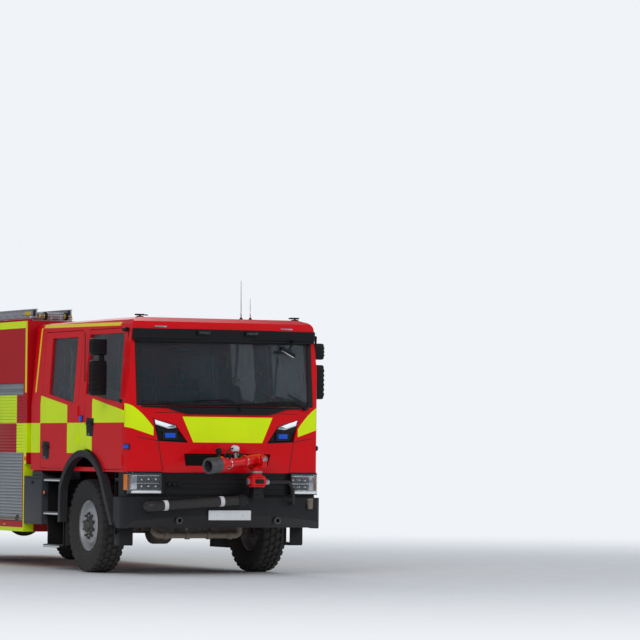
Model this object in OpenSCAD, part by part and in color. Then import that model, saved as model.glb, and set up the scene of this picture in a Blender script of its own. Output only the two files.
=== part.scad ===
// Airport fire truck: crew cab, four-wheel drive chassis, equipment body and bumper monitor.
// The vehicle faces -Y, its left side is +X, and it stands on Z = 0.
// Places along Y are written from the front axle and shifted to the middle of the length.

/* [Chassis] */
// Distance from front axle to rear axle
wheelbase = 5100; // [4600:50:5400]
// Overall width across the frame rails
frame_w = 770; // [740:10:800]
// Height of a frame rail
rail_h = 270; // [230:10:300]
// Width of a rail flange
rail_flange = 90; // [70:5:110]
// Thickness of a rail web and flange
rail_t = 10; // [8:1:14]
// Top of the frame rails above the ground
rail_top = 1060; // [1040:5:1090]
// Front end of the frame rails, from the front axle
frame_front_y = -1330; // [-1345:5:-1250]

/* [Wheels] */
// Radius of a tyre over its lugs
tyre_r = 550; // [540:1:560]
// Width of a tyre
tyre_w = 310; // [290:5:320]
// Radius of the rim where the tyre seats
rim_r = 298; // [280:1:310]
// Distance of a front wheel's middle from the centre line
front_wheel_x = 1035; // [1020:5:1050]
// Distance of a twin rear wheel's middle from the centre line
rear_wheel_x = 915; // [900:5:925]
// Distance between the middles of twin tyres
twin_pitch = 345; // [340:1:360]
// Distance of the kingpin from the centre line
kingpin_x = 900; // [890:5:910]
// Radius of a wheel spindle
spindle_r = 55; // [45:1:60]
// Radius of the kingpin
kingpin_r = 22; // [18:1:26]
// Length of a steering arm
steer_arm = 215; // [205:1:218]

/* [Cab] */
// Width of the cab
cab_w = 2440; // [2400:10:2480]
// Front face of the cab, from the front axle
cab_front_y = -1460; // [-1480:5:-1450]
// Rear face of the cab, from the front axle
cab_rear_y = 1715; // [1650:5:1725]
// Underside of the cab floor
cab_bottom = 1190; // [1180:5:1200]
// Top of the cab roof
cab_top = 2985; // [2950:5:3000]
// Height of the belt line where the sides start to lean in
belt_z = 1980; // [1950:5:2000]
// How far each side leans in from the belt to the roof
side_lean = 70; // [40:5:90]
// Radius of the cab's front corners in plan
cab_corner_r = 260; // [220:5:280]
// Radius of the slight bow of the cab's front face
front_bow_r = 6800; // [6000:100:9000]
// Thickness of a cab wall and of a door
cab_wall = 50; // [40:1:60]
// Gap round a door
door_gap = 7; // [6:0.5:9]

/* [Windows] */
// Lower edge of the windscreen
screen_bottom = 1960; // [1940:5:1980]
// Upper edge of the windscreen
screen_top = 2740; // [2700:5:2760]
// Half width of the windscreen
screen_half_w = 1120; // [1080:5:1130]
// How far the windscreen's foot stands behind the cab's front face
cowl = 90; // [70:5:100]
// Thickness of the glass
glass_t = 8; // [5:1:10]

/* [Body] */
// Front face of the body, from the front axle
body_front_y = 1780; // [1770:5:1800]
// Rear face of the body, from the front axle
body_rear_y = 7200; // [6900:50:7400]
// Width of the body
body_w = 2500; // [2460:10:2550]
// Lower edge of the body sides
body_bottom = 438; // [420:2:480]
// Top of the body
body_top = 3015; // [2990:5:3060]
// Lower edge of the roller shutters
shutter_bottom = 563; // [550:1:600]
// Upper edge of the roller shutters
shutter_top = 2250; // [2200:10:2300]
// Depth of a side locker
locker_depth = 560; // [450:10:600]
// Width of a pillar between lockers
pillar_w = 90; // [70:5:120]

/* [Bumper and monitor] */
// Width of the bumper
bumper_w = 2510; // [2480:10:2530]
// Front face of the bumper, from the front axle
bumper_front_y = -1530; // [-1550:5:-1510]
// Top of the bumper
bumper_top = 905; // [890:5:920]
// Lower edge of the bumper
bumper_bottom = 545; // [520:5:570]
// Distance of the monitor's upright axis from the centre line
monitor_x = 280; // [200:5:360]
// Monitor's upright axis, from the front axle
monitor_y = -1650; // [-1670:5:-1640]
// Height of the barrel's tilt axis
monitor_z = 1350; // [1320:5:1380]
// Angle of the barrel to the right of straight ahead
monitor_pan = 70; // [50:1:80]
// Angle of the barrel below level
monitor_dip = 6; // [0:1:10]
// Length from the tilt axis to the nozzle's mouth
barrel_reach = 790; // [700:10:850]
// Radius of the nozzle
nozzle_r = 92; // [80:1:100]

/* [Ladder] */
// Overall width of the ladder
ladder_w = 490; // [450:5:520]
// Length of the ladder
ladder_len = 4600; // [4000:50:4800]
// Distance of the ladder's middle from the centre line
ladder_x = 830; // [780:5:880]
// Height of a ladder stile
stile_h = 110; // [90:5:130]

/* [Hidden] */
$fn = 48;

seat = 0.3;
curve_seat = 0.6;
run_gap = 5;
pivot_gap = 0.5;
axle_z = tyre_r;
far = 4000;

// Mouth of the nozzle, its aim, and the foremost point of its rim
aim_y = -cos(monitor_pan) * cos(monitor_dip);
nozzle_tip_y = monitor_y + barrel_reach * aim_y;
front_most_y = nozzle_tip_y - nozzle_r * sqrt(1 - aim_y * aim_y);
rear_bumper_t = 170;
rear_most_y = body_rear_y + rear_bumper_t;
mid_y = (front_most_y + rear_most_y) / 2;

cab_half = cab_w / 2;
body_half = body_w / 2;
bumper_half = bumper_w / 2;
rail_x = frame_w / 2;
rail_bottom = rail_top - rail_h;

// Outer circle of the front wheel arch, as y, z and radius
arch_y = -40;
arch_z = 640;
arch_r = 800;
arch_band = 75;

module from_axle() {
    translate([0, -mid_y, 0]) children();
}

module on_side(side) {
    mirror([side < 0 ? 1 : 0, 0, 0]) children();
}

module both_sides() {
    for (side = [1, -1]) on_side(side) children();
}

// Extrudes a drawing in Y and Z from x0 to x1
module along_x(x0, x1) {
    translate([x0, 0, 0]) rotate([90, 0, 90]) linear_extrude(x1 - x0) children();
}

// Extrudes a drawing in X and Z from y0 to y1
module along_y(y0, y1) {
    translate([0, y1, 0]) rotate([90, 0, 0]) linear_extrude(y1 - y0) children();
}

module box(low, high) {
    translate(low) cube(high - low);
}

module rod(a, b, r) {
    d = b - a;
    translate(a) rotate([0, acos(d.z / norm(d)), atan2(d.y, d.x)]) cylinder(h = norm(d), r = r);
}

// How far a bend stands over its pipe, and the angle it laps over each end
bend_bead = 2;
bend_lap = 4;

// A pipe through points, its corners bent round to a radius
module pipe(points, r, bend_r) {
    last = len(points) - 1;
    way = [for (i = [0 : last - 1]) let (d = points[i + 1] - points[i]) d / norm(d)];
    turn = [for (i = [0 : last]) i == 0 || i == last ? 0 : acos(way[i - 1] * way[i])];
    cut = [for (t = turn) bend_r * tan(t / 2)];
    for (i = [0 : last - 1])
        rod(points[i] + cut[i] * way[i], points[i + 1] - cut[i + 1] * way[i], r);
    for (i = [1 : 1 : last - 1]) {
        n = cross(way[i - 1], way[i]) / sin(turn[i]);
        in = cross(n, way[i - 1]);
        o = points[i] - cut[i] * way[i - 1] + bend_r * in;
        multmatrix([[-in.x, way[i - 1].x, n.x, o.x], [-in.y, way[i - 1].y, n.y, o.y],
                    [-in.z, way[i - 1].z, n.z, o.z], [0, 0, 0, 1]])
            rotate([0, 0, -bend_lap]) rotate_extrude(angle = turn[i] + 2 * bend_lap)
                translate([bend_r, 0]) circle(r + bend_bead);
    }
}

function arc(cx, cy, r, a0, a1, n) =
    [for (i = [0 : n]) let (a = a0 + (a1 - a0) * i / n) [cx + r * cos(a), cy + r * sin(a)]];

// Plan of a shape with a bowed front and round front corners
module bowed_plan(half_w, front_y, rear_y, corner_r) {
    intersection() {
        union() {
            translate([-half_w, front_y + corner_r])
                square([2 * half_w, rear_y - front_y - corner_r]);
            translate([corner_r - half_w, front_y])
                square([2 * (half_w - corner_r), corner_r + 1]);
            for (side = [-1, 1])
                translate([side * (half_w - corner_r), front_y + corner_r]) circle(corner_r, $fn = 120);
        }
        translate([0, front_y + front_bow_r]) circle(front_bow_r, $fn = 900);
    }
}

// Side view of the cab, as y and z, drawn in by an inset, down to a lower end
function cab_profile(i, low) = [
    [cab_rear_y - i, low],
    [cab_front_y + 50 + i, low],
    [cab_front_y + i, 1560],
    [cab_front_y + 22 + i, 1940],
    [cab_front_y + cowl + i, screen_bottom + 10],
    [cab_front_y + cowl + 80 + i, screen_top],
    [cab_front_y + cowl + 60 + i, 2850],
    [cab_front_y + cowl + 90 + i, 2935 - i],
    [cab_front_y + cowl + 230 + i, cab_top - i],
    [cab_front_y + 1200, cab_top - i],
    [cab_rear_y - i, cab_top - 20 - i]
];

// Front view of the cab, as x and z, drawn in by an inset, down to a lower end
function cab_front_view(i, low) = let (w = cab_half - i, t = cab_half - side_lean - i) [
    [-w, low], [-w, belt_z], [-t, 2900 - i], [-t + 40, 2955 - i], [-t + 130, cab_top - i],
    [t - 130, cab_top - i], [t - 40, 2955 - i], [t, 2900 - i], [w, belt_z], [w, low]
];

module cab_envelope(i, cut_low = 0) {
    low = cab_bottom + i - cut_low;
    intersection() {
        translate([0, 0, low]) linear_extrude(cab_top - low)
            bowed_plan(cab_half - i, cab_front_y + i, cab_rear_y - i, cab_corner_r - i);
        along_y(cab_front_y - 100, cab_rear_y + 100) polygon(cab_front_view(i, low));
        along_x(-cab_half - 100, cab_half + 100) polygon(cab_profile(i, low));
    }
}

module rail_section() {
    difference() {
        square([rail_flange, rail_h]);
        translate([-1, rail_t]) square([rail_flange - rail_t + 1, rail_h - 2 * rail_t]);
    }
}

cross_member_y = [-1200, 1400, 2600, 3700, 6100, 7060];
cross_member_r = 38;
rail_rear_y = body_rear_y - 40;
jaw_z = 870;
jaw_pin_r = 25;

module chassis_frame() color("dimgray") from_axle() {
    both_sides()
        translate([rail_x - rail_flange, rail_rear_y, rail_bottom])
            rotate([90, 0, 0]) linear_extrude(rail_rear_y - frame_front_y) rail_section();
    for (y = cross_member_y)
        translate([0, y, rail_top - cross_member_r - rail_t]) rotate([0, 90, 0])
            cylinder(h = frame_w - 2 * rail_t, r = cross_member_r, center = true);
    for (y = [frame_front_y, rail_rear_y])
        box([-rail_x, y - 12, rail_bottom], [rail_x, y, rail_top]);
    both_sides() for (y = [0, rear_axle_y]) for (end = [-1, 1])
        box([rail_x - 1, y + end * spring_span / 2 - 45, axle_z + 90 + 93 + seat],
            [spring_x + spring_w / 2, y + end * spring_span / 2 + 45, rail_bottom + 130]);
    difference() {
        box([-70, rail_rear_y, jaw_z - 60], [70, rail_rear_y + 190, jaw_z + 60]);
        box([-90, rail_rear_y + 60, jaw_z - 28], [90, rail_rear_y + 200, jaw_z + 28]);
        translate([0, rail_rear_y + 130, jaw_z - 80]) cylinder(h = 160, r = jaw_pin_r);
    }
}

engine_w = 570;
engine_top = 1420;
shaft_r = 55;
diff_r = 200;
front_diff_r = 185;
front_diff = [-260, -45, 520];
front_beam_r = 70;
transfer_y = 2100;
rear_axle_y = wheelbase;

module power_train() color("slategray") from_axle() {
    box([-engine_w / 2, -980, 770], [engine_w / 2, 300, engine_top]);
    box([-230, 300, 700], [230, 1150, 1180]);
    rod([0, 1150, 900], [0, transfer_y - 150, 900], shaft_r);
    box([-285, transfer_y - 150, 480], [285, transfer_y + 250, 1040]);
    rod([front_diff.x, transfer_y - 150, 600], [front_diff.x, 150, 565], shaft_r - 10);
    rod([0, transfer_y + 250, 620], [0, rear_axle_y - diff_r - 40, axle_z], shaft_r);
}

boss_r = 52;
boss_half = 95;
spring_x = 455;
spring_w = 90;
spring_span = 1500;

module leaf_spring(y, span, z) {
    for (x = [-spring_x, spring_x]) {
        for (leaf = [0 : 2])
            box([x - spring_w / 2, y - span / 2 + 150 * leaf, z + 24 * (2 - leaf)],
                [x + spring_w / 2, y + span / 2 - 150 * leaf, z + 24 * (3 - leaf)]);
        for (end = [-1, 1])
            translate([x, y + end * span / 2, z + 55]) rotate([0, 90, 0])
                cylinder(h = spring_w, r = 38, center = true);
    }
}

module front_axle() color("darkslategray") from_axle() {
    difference() {
        union() {
            rod([-kingpin_x, 0, axle_z], [kingpin_x, 0, axle_z], front_beam_r);
            both_sides() translate([kingpin_x, 0, axle_z])
                cylinder(h = 2 * boss_half, r = boss_r, center = true);
        }
        both_sides() {
            translate([kingpin_x, 0, axle_z])
                cylinder(h = 3 * boss_half, r = kingpin_r + 0.5, center = true);
            difference() {
                box([kingpin_x - 40, -90, axle_z - 90], [kingpin_x + 90, 90, axle_z + 90]);
                translate([kingpin_x, 0, axle_z])
                    cylinder(h = 3 * boss_half, r = boss_r, center = true);
            }
        }
    }
    for (x = [-spring_x, spring_x])
        box([x - 60, -90, axle_z - 60], [x + 60, 90, axle_z + 90 - seat]);
}

// The front differential's drum, clamped round the axle's beam
module front_differential() color("darkslategray") from_axle() {
    half = 130;
    round_r = 55;
    difference() {
        translate(front_diff) rotate([0, 90, 0]) rotate_extrude() polygon(concat(
            [[0, -half]],
            arc(front_diff_r - round_r, round_r - half, round_r, -90, 0, 4),
            arc(front_diff_r - round_r, half - round_r, round_r, 0, 90, 4),
            [[0, half]]));
        rod([-kingpin_x, 0, axle_z], [kingpin_x, 0, axle_z], front_beam_r + seat);
    }
}

module front_springs() color("dimgray") from_axle() leaf_spring(0, spring_span, axle_z + 90);
module rear_springs() color("dimgray") from_axle() leaf_spring(rear_axle_y, spring_span, axle_z + 90);

rear_stub_end = rear_wheel_x + twin_pitch / 2 + 60;

module rear_axle() color("darkslategray") from_axle() {
    rod([-580, rear_axle_y, axle_z], [580, rear_axle_y, axle_z], 85);
    rod([-rear_stub_end, rear_axle_y, axle_z], [rear_stub_end, rear_axle_y, axle_z], spindle_r);
    translate([0, rear_axle_y, axle_z]) rotate([0, 0, 45]) sphere(diff_r + 40);
    for (x = [-spring_x, spring_x])
        box([x - 60, rear_axle_y - 100, axle_z - 60], [x + 60, rear_axle_y + 100, axle_z + 90 - seat]);
}

bumper_wall = 60;
hose_r = 55;
hose_hole = [-1030, 800];
band_bottom = 700;
bumper_rear_y = -1030;
hose_y = bumper_front_y - hose_r - 2;
tow_eye = [620, 640];
tow_eye_r = 22;
tow_collar_r = 42;
tow_collar_y = [bumper_front_y + 30, bumper_front_y + 152];

module bumper_solid(i) {
    intersection() {
        translate([0, 0, bumper_bottom - 10]) linear_extrude(bumper_top - bumper_bottom + 10 - i)
            bowed_plan(bumper_half - i, bumper_front_y + i, bumper_rear_y, 330 - i);
        along_x(-bumper_half - 50, bumper_half + 50) polygon([
            [bumper_rear_y + 1, 640 - i], [-1130, bumper_bottom - i], [-1300 + i, bumper_bottom - i],
            [bumper_front_y + i, band_bottom], [bumper_front_y + i, bumper_top],
            [bumper_rear_y + 1, bumper_top]
        ]);
    }
}

// Cuts that show as dark recesses in the bumper's lower band, as x from and to
band_recess_x = [[150, 430], [720, 900]];

module front_bumper() color("#26282b") from_axle() {
    difference() {
        union() {
            difference() {
                bumper_solid(0);
                bumper_solid(bumper_wall);
            }
            both_sides() translate([tow_eye.x, tow_collar_y[1], tow_eye.y]) rotate([90, 0, 0])
                cylinder(h = tow_collar_y[1] - tow_collar_y[0], r = tow_collar_r);
        }
        box([-rail_x - 20, frame_front_y - 15, rail_bottom - 20], [rail_x + 20, -800, rail_top]);
        translate([hose_hole.x, -1250, hose_hole.y]) rotate([90, 0, 0])
            cylinder(h = 450, r = hose_r + seat);
        both_sides() {
            translate([tow_eye.x, -1300, tow_eye.y]) rotate([90, 0, 0])
                cylinder(h = 400, r = tow_eye_r);
            for (x = band_recess_x)
                along_y(bumper_front_y - 10, bumper_front_y + 75) polygon([
                    [x[0] + 15, 575], [x[1] - 15, 575], [x[1], 612], [x[1] - 15, 650], [x[0] + 15, 650], [x[0], 612]
                ]);
        }
    }
    box([-rail_x, bumper_front_y + 50, rail_bottom + 20], [rail_x, frame_front_y - 12, rail_bottom + 80]);
}

water_pipe_z = 460;
water_pipe_y = -1050;
water_pipe_r = 36;

module water_pipe() color("#8a8072") from_axle() {
    pipe([[-540, 250, 800], [-540, -740, 800], [-770, water_pipe_y, water_pipe_z],
          [330, water_pipe_y, water_pipe_z], [330, water_pipe_y, 560]], water_pipe_r, 60);
    for (x = [-rail_x + 30, rail_x - 60])
        box([x, water_pipe_y - 10, water_pipe_z], [x + 30, water_pipe_y + 10, rail_bottom - seat]);
    for (x = [-600, -330, -60, 210])
        translate([x, water_pipe_y, water_pipe_z]) rotate([0, 90, 0])
            cylinder(h = 50, r = water_pipe_r + 12, center = true);
}

lamp_low = 940;
lamp_high = 1186;
lamp_inner = 800;

module front_skin(outer, inner, z0, z1) {
    translate([0, 0, z0]) linear_extrude(z1 - z0) difference() {
        bowed_plan(cab_half - outer, cab_front_y + outer, cab_rear_y, cab_corner_r - outer);
        bowed_plan(cab_half - inner, cab_front_y + inner, cab_rear_y + 10, cab_corner_r - inner);
    }
}

module head_lamps() color("silver") from_axle() {
    intersection() {
        front_skin(-15, 90, lamp_low, lamp_high);
        both_sides() box([lamp_inner, -1600, 0], [1400, -1225, 2000]);
    }
}

module grille() color("#202224") from_axle() {
    difference() {
        front_skin(20, 70, bumper_top, cab_bottom);
        box([-2000, -1050, 0], [2000, 5000, 3000]);
        both_sides()
            box([lamp_inner - seat, -1600, lamp_low - seat], [1400, -1221, lamp_high + seat]);
    }
}

pod_cut = [[925, 1815], [650, 1740], [575, 1640], [500, 1535], [860, 1550]];
slot_cut = [[-550, 1410], [-520, 1270], [520, 1270], [550, 1410]];
panel_half_w = 1010;
panel_t = 45;
notch_half_w = 520;
notch_z = 1862;
panel_shoulder_z = 1940;

function panel_outline(c) = [
    [-panel_half_w + c, cab_bottom + 20 + c], [panel_half_w - c, cab_bottom + 20 + c],
    [panel_half_w - c, panel_shoulder_z - c], [notch_half_w + 240, panel_shoulder_z - c - 10],
    [notch_half_w, notch_z - c], [-notch_half_w, notch_z - c],
    [-notch_half_w - 240, panel_shoulder_z - c - 10], [-panel_half_w + c, panel_shoulder_z - c]
];

module front_panel() color("red") from_axle() {
    difference() {
        intersection() {
            cab_envelope(0);
            along_y(cab_front_y - 50, cab_front_y + 400) polygon(panel_outline(seat));
        }
        cab_envelope(panel_t - seat, 100);
        both_sides() along_y(-1500, -1000) polygon(pod_cut);
        along_y(-1500, -1000) polygon(slot_cut);
    }
}

door_arch_gap = 16;
door_top = 2860;
sill_z = 1215;
front_door_y = [-1215, -20];
rear_door_y = [170, 1390];

// A door's outline as y and z, grown by g
function door_outline(span, g) = [
    [span[0] - g, sill_z - g], [span[1] + g, sill_z - g],
    [span[1] + g, door_top + g], [span[0] - g + 25, door_top + g], [span[0] - g, belt_z]
];
// Heights of a door's hinges
front_hinge_z = [1330, 1900];
rear_hinge_z = [1580, 1900];
hinge_pin_r = 8;
hinge_r = 14;
hinge_half = 30;
hinge_lug = 26;
pin_end = 1;

module at_hinges(span, heights) {
    for (z = heights) translate([cab_half + 2, span[0] + door_gap, z]) children();
}

// A hinge's two lugs on the cab with the pin through them, and the room a door leaves for them
module hinge_lugs(span, heights, grow) {
    at_hinges(span, heights) for (end = [-1, 1])
        translate([0, 0, end * (hinge_half + pin_end + hinge_lug / 2)])
            cylinder(h = hinge_lug + 2 * grow, r = hinge_r + grow, center = true);
}

module hinge_pins(span, heights, r) {
    at_hinges(span, heights) cylinder(h = 2 * (hinge_half + hinge_lug), r = r, center = true);
}

module hinge_knuckles(span, heights, grow) {
    at_hinges(span, heights) cylinder(h = 2 * (hinge_half + grow), r = hinge_r + grow, center = true);
}

front_window = [[-1116, 1990], [-35, 2105], [-35, 2800], [-1085, 2800]];
rear_window = [[335, 1995], [1150, 2110], [1170, 2780], [345, 2780]];

module arch_disc(extra) {
    translate([0, arch_y, arch_z]) rotate([0, 90, 0]) cylinder(h = far, r = arch_r + extra, $fn = 96);
}

module cabin_cuts() {
    difference() {
        cab_envelope(cab_wall);
        box([-far, cab_front_y - 10, 0], [far, cab_front_y + 120, panel_shoulder_z + 15]);
    }
}

tunnel_half_w = 400;
tunnel_top = 1480;

module cab_shell() color("red") from_axle() {
    difference() {
        cab_envelope(0);
        difference() {
            cabin_cuts();
            box([-tunnel_half_w, -far, 0], [tunnel_half_w, 420, tunnel_top]);
        }
        box([40 - tunnel_half_w, -1240, 0], [tunnel_half_w - 40, 380, tunnel_top - 40]);
        difference() {
            along_y(cab_front_y - 50, cab_front_y + 400) polygon(panel_outline(0));
            cab_envelope(panel_t, 100);
        }
        box([-screen_half_w, -1600, screen_bottom], [screen_half_w, -1150, screen_top]);
        both_sides() for (span = [front_door_y, rear_door_y]) {
            along_x(cab_half - cab_wall - 1, cab_half + 50) polygon(door_outline(span, 0));
            intersection() {
                along_x(cab_half - 200, cab_half + 50) polygon(door_outline(span, 0));
                box([0, -far, cab_bottom + cab_wall], [far, far, far]);
            }
        }
        both_sides() intersection() {
            translate([cab_half - cab_wall - 1, 0, 0]) arch_disc(curve_seat);
            box([0, -far, 0], [far, far, 1600]);
        }
        both_sides() {
            hinge_knuckles(front_door_y, front_hinge_z, pin_end);
            hinge_knuckles(rear_door_y, rear_hinge_z, pin_end);
        }
    }
    both_sides() {
        hinge_lugs(front_door_y, front_hinge_z, 0);
        hinge_lugs(rear_door_y, rear_hinge_z, 0);
        hinge_pins(front_door_y, front_hinge_z, hinge_pin_r);
        hinge_pins(rear_door_y, rear_hinge_z, hinge_pin_r);
    }
}

visor_low = 2722;
visor_high = 2852;
visor_rear_y = front_door_y[0] + 10;

module cab_trim() color("#1c1e20") from_axle() {
    difference() {
        translate([0, 0, visor_low]) linear_extrude(visor_high - visor_low)
            bowed_plan(cab_half - 35, cab_front_y + cowl + 25, -900, cab_corner_r - 25);
        cab_envelope(-seat);
        box([-far, visor_rear_y, 0], [far, 0, far]);
    }
    difference() {
        intersection() {
            cab_envelope(-12);
            along_y(cab_front_y - 50, cab_front_y + 300) polygon([
                [-screen_half_w + 60, panel_shoulder_z + 1], [-notch_half_w - 240, panel_shoulder_z - 9],
                [-notch_half_w, notch_z + 1], [notch_half_w, notch_z + 1],
                [notch_half_w + 240, panel_shoulder_z - 9], [screen_half_w - 60, panel_shoulder_z + 1],
                [screen_half_w - 60, screen_bottom - 2], [60 - screen_half_w, screen_bottom - 2]
            ]);
        }
        cab_envelope(-seat);
    }
}

module windscreen() color("lightsteelblue", 0.5) from_axle() {
    intersection() {
        difference() {
            cab_envelope(12);
            cab_envelope(12 + glass_t);
        }
        box([seat - screen_half_w, -1600, screen_bottom + seat],
            [screen_half_w - seat, -1150, screen_top - seat]);
    }
}

wheel_centre = [-600, -760, 1830];
dash_half_w = 1080;
dash_y = [-1318, -1000];
dash_top = 1900;
column_z = 1640;

module dashboard() color("#2b2d30") from_axle() {
    box([-dash_half_w, dash_y[0], tunnel_top + seat], [dash_half_w, dash_y[1], dash_top]);
    rod([wheel_centre.x, dash_y[1] - 50, column_z], wheel_centre, 35);
    translate(wheel_centre) rotate([-35, 0, 0]) {
        rotate_extrude($fn = 64) translate([225, 0]) circle(16);
        for (a = [90, 210, 330]) rotate([0, 0, a]) translate([0, -18, -8]) cube([222, 36, 16]);
        translate([0, 0, -20]) cylinder(h = 40, r = 60);
    }
}

seat_table = [ // x, y of the squab's front, width
    [-640, -480, 500], [640, -480, 500],
    [-690, 900, 460], [-230, 900, 440], [230, 900, 440], [690, 900, 460]
];
floor_z = cab_bottom + cab_wall;

module crew_seat(w) {
    box([-w / 2 + 40, 60, 0], [w / 2 - 40, 440, 280]);
    box([-w / 2 + 10, 0, 260], [w / 2 - 10, 520, 400]);
    along_x(-w / 2 + 16, w / 2 - 16)
        polygon([[470, 360], [590, 360], [700, 1020], [580, 1020]]);
    along_x(-110, 110)
        polygon([[592, 1000], [672, 1000], [706, 1210], [626, 1210]]);
}

module seats() color("#3a3d42") from_axle() {
    for (row = seat_table) translate([row[0], row[1], floor_z]) crew_seat(row[2]);
}

module door(span, window, heights) {
    difference() {
        union() {
            intersection() {
                cab_envelope(0);
                along_x(cab_half - 200, cab_half + 50) polygon(door_outline(span, -door_gap));
            }
            hinge_knuckles(span, heights, 0);
        }
        cab_envelope(cab_wall, 100);
        along_x(cab_half - 200, cab_half + 50) polygon(window);
        translate([cab_half - 200, 0, 0]) arch_disc(door_arch_gap);
        hinge_lugs(span, heights, pin_end);
        hinge_pins(span, heights, hinge_pin_r + pivot_gap);
    }
}

module door_front_left() color("red") from_axle() door(front_door_y, front_window, front_hinge_z);
module door_front_right() color("red") from_axle()
    on_side(-1) door(front_door_y, front_window, front_hinge_z);
module door_rear_left() color("red") from_axle() door(rear_door_y, rear_window, rear_hinge_z);
module door_rear_right() color("red") from_axle()
    on_side(-1) door(rear_door_y, rear_window, rear_hinge_z);

module door_glass(window) {
    intersection() {
        difference() {
            cab_envelope(20);
            cab_envelope(20 + glass_t);
        }
        along_x(cab_half - 200, cab_half + 50) offset_outline(window);
    }
}

// A window's outline drawn in so that the glass sits just inside it
module offset_outline(window) {
    polygon([window[0] + [seat, seat], window[1] + [-seat, seat],
             window[2] + [-seat, -seat], window[3] + [seat, -seat]]);
}

module glass_front_left() color("lightsteelblue", 0.5) from_axle() door_glass(front_window);
module glass_front_right() color("lightsteelblue", 0.5) from_axle() on_side(-1) door_glass(front_window);
module glass_rear_left() color("lightsteelblue", 0.5) from_axle() door_glass(rear_window);
module glass_rear_right() color("lightsteelblue", 0.5) from_axle() on_side(-1) door_glass(rear_window);

mirror_x = [1295, 1490];
mirror_y = [-900, -790];
mirror_low = [2075, 2470];
mirror_high = [2545, 2725];

module mirror_head() {
    for (z = [mirror_low, mirror_high])
        box([mirror_x[0], mirror_y[0], z[0]], [mirror_x[1], mirror_y[1], z[1]]);
    box([mirror_x[0] + 22, -868, mirror_low[1] - 10], [mirror_x[0] + 82, -818, mirror_high[0] + 10]);
    pipe([[1120, -1140, 2838], [1240, -1080, 2835], [mirror_x[0] + 60, -845, 2700]], 20, 50);
    pipe([[1190, -1140, 2008], [1262, -1080, 2010], [mirror_x[0] + 60, -845, 2110]], 20, 50);
}

module mirror_assembly(side) {
    on_side(side) difference() {
        mirror_head();
        cab_envelope(-seat);
    }
}

module mirror_left() color("#1c1e20") from_axle() mirror_assembly(1);
module mirror_right() color("#1c1e20") from_axle() mirror_assembly(-1);

arch_x = [cab_half - cab_wall + seat, cab_half + 45];
arch_front_foot = [-1020, 580];
arch_rear_foot = [690, 580];

// Band of a wheel arch as y and z: outer edge over the top, inner edge back
function arch_outline(t) = concat(
    [[arch_front_foot[0] + t, arch_front_foot[1]]],
    arc(arch_y, arch_z, arch_r - t, 155, 27, 16),
    [[arch_rear_foot[0] - t, arch_rear_foot[1]]]
);

module wheel_arches() color("#2b2d30") from_axle() {
    outer = arch_outline(0);
    inner = arch_outline(arch_band);
    count = len(inner);
    both_sides() {
        along_x(arch_x[0], arch_x[1])
            polygon(concat(outer, [for (i = [0 : count - 1]) inner[count - 1 - i]]));
        box([880, arch_rear_foot[0] - 45, 300], [arch_x[0], arch_rear_foot[0] - 33, 760]);
        along_x(rear_arch_x, body_half - 2) polygon(concat(
            arc(rear_axle_y, axle_z, rear_arch_r - curve_seat, 165, 15, 16),
            arc(rear_axle_y, axle_z, rear_arch_r - 40, 15, 165, 16)
        ));
    }
}

step_x = [960, 1165];
front_step_z = [340, 720, 1080];
rear_step_z = [270, 660, 1060];

module entry_steps() color("#303236") from_axle() {
    both_sides() {
        for (z = front_step_z)
            box([1000, -1010, z], [1165, -850, z + 30]);
        for (x = [1000, 1140])
            box([x, -870, 340], [x + 25, -850, cab_bottom - seat]);
        for (z = rear_step_z)
            box([step_x[0], 700, z], [1235, 1230, z + 30]);
        box([step_x[0], 700, 270], [step_x[0] + 20, 1230, cab_bottom - seat]);
        for (y = [700, 1215])
            box([step_x[0], y, 270], [1180, y + 15, 1060]);
        box([rail_x, 900, 850], [step_x[0], 960, 910]);
        box([rail_x, -920, 850], [1010, -860, 910]);
    }
}

box_x = [620, 1250];
box_y = [1250, 1850];
box_z = [540, 1120];
box_cap = 60;

module side_boxes() color("#3a3c40") from_axle() {
    both_sides() {
        box([box_x[0], box_y[0], box_z[0]], [box_x[1], box_y[1], box_z[1]]);
        along_x(box_x[0], box_x[1] - 50) polygon([
            [box_y[0] + 60, box_z[1]], [box_y[1] - 150, box_z[1]],
            [box_y[1] - 150, box_z[1] + box_cap], [box_y[0] + 160, box_z[1] + box_cap]
        ]);
        for (y = [box_y[0] + 150, box_y[1] - 210])
            box([rail_x, y, 850], [box_x[0], y + 60, 910]);
    }
}

antenna_table = [[575, -500, 3470, 5], [695, -500, 3260, 4]]; // x, y, tip z, radius

module roof_fittings() color("#1c1e20") from_axle() {
    for (row = antenna_table) {
        translate([row[0], row[1], cab_top + seat]) cylinder(h = 45, r = 28);
        rod([row[0], row[1], cab_top + 10], [row[0], row[1] + 10, row[2]], row[3]);
    }
    both_sides() {
        box([820, -1080, cab_top + seat], [1010, -1000, cab_top + 40]);
    }
}

rear_arch_r = 690;
frame_bay = spring_x + spring_w / 2 + 15;
rear_arch_x = frame_bay;
arch_locker_z = axle_z + rear_arch_r + 60;
front_locker_y = 1915;
front_locker_end = rear_axle_y - rear_arch_r - 60;
front_locker_w = (front_locker_end - front_locker_y - pillar_w) / 2;
locker_table = [ // y start, y end, lower z
    [front_locker_y, front_locker_y + front_locker_w, shutter_bottom],
    [front_locker_end - front_locker_w, front_locker_end, shutter_bottom],
    [front_locker_end + pillar_w, rear_axle_y + rear_arch_r - 30, arch_locker_z],
    [rear_axle_y + rear_arch_r + 60, body_rear_y - 110, shutter_bottom]
];
rear_bay_half = 700;
rear_bay_depth = 620;
rear_bay_bottom = 1130;
rear_bay_top = 2500;

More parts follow.
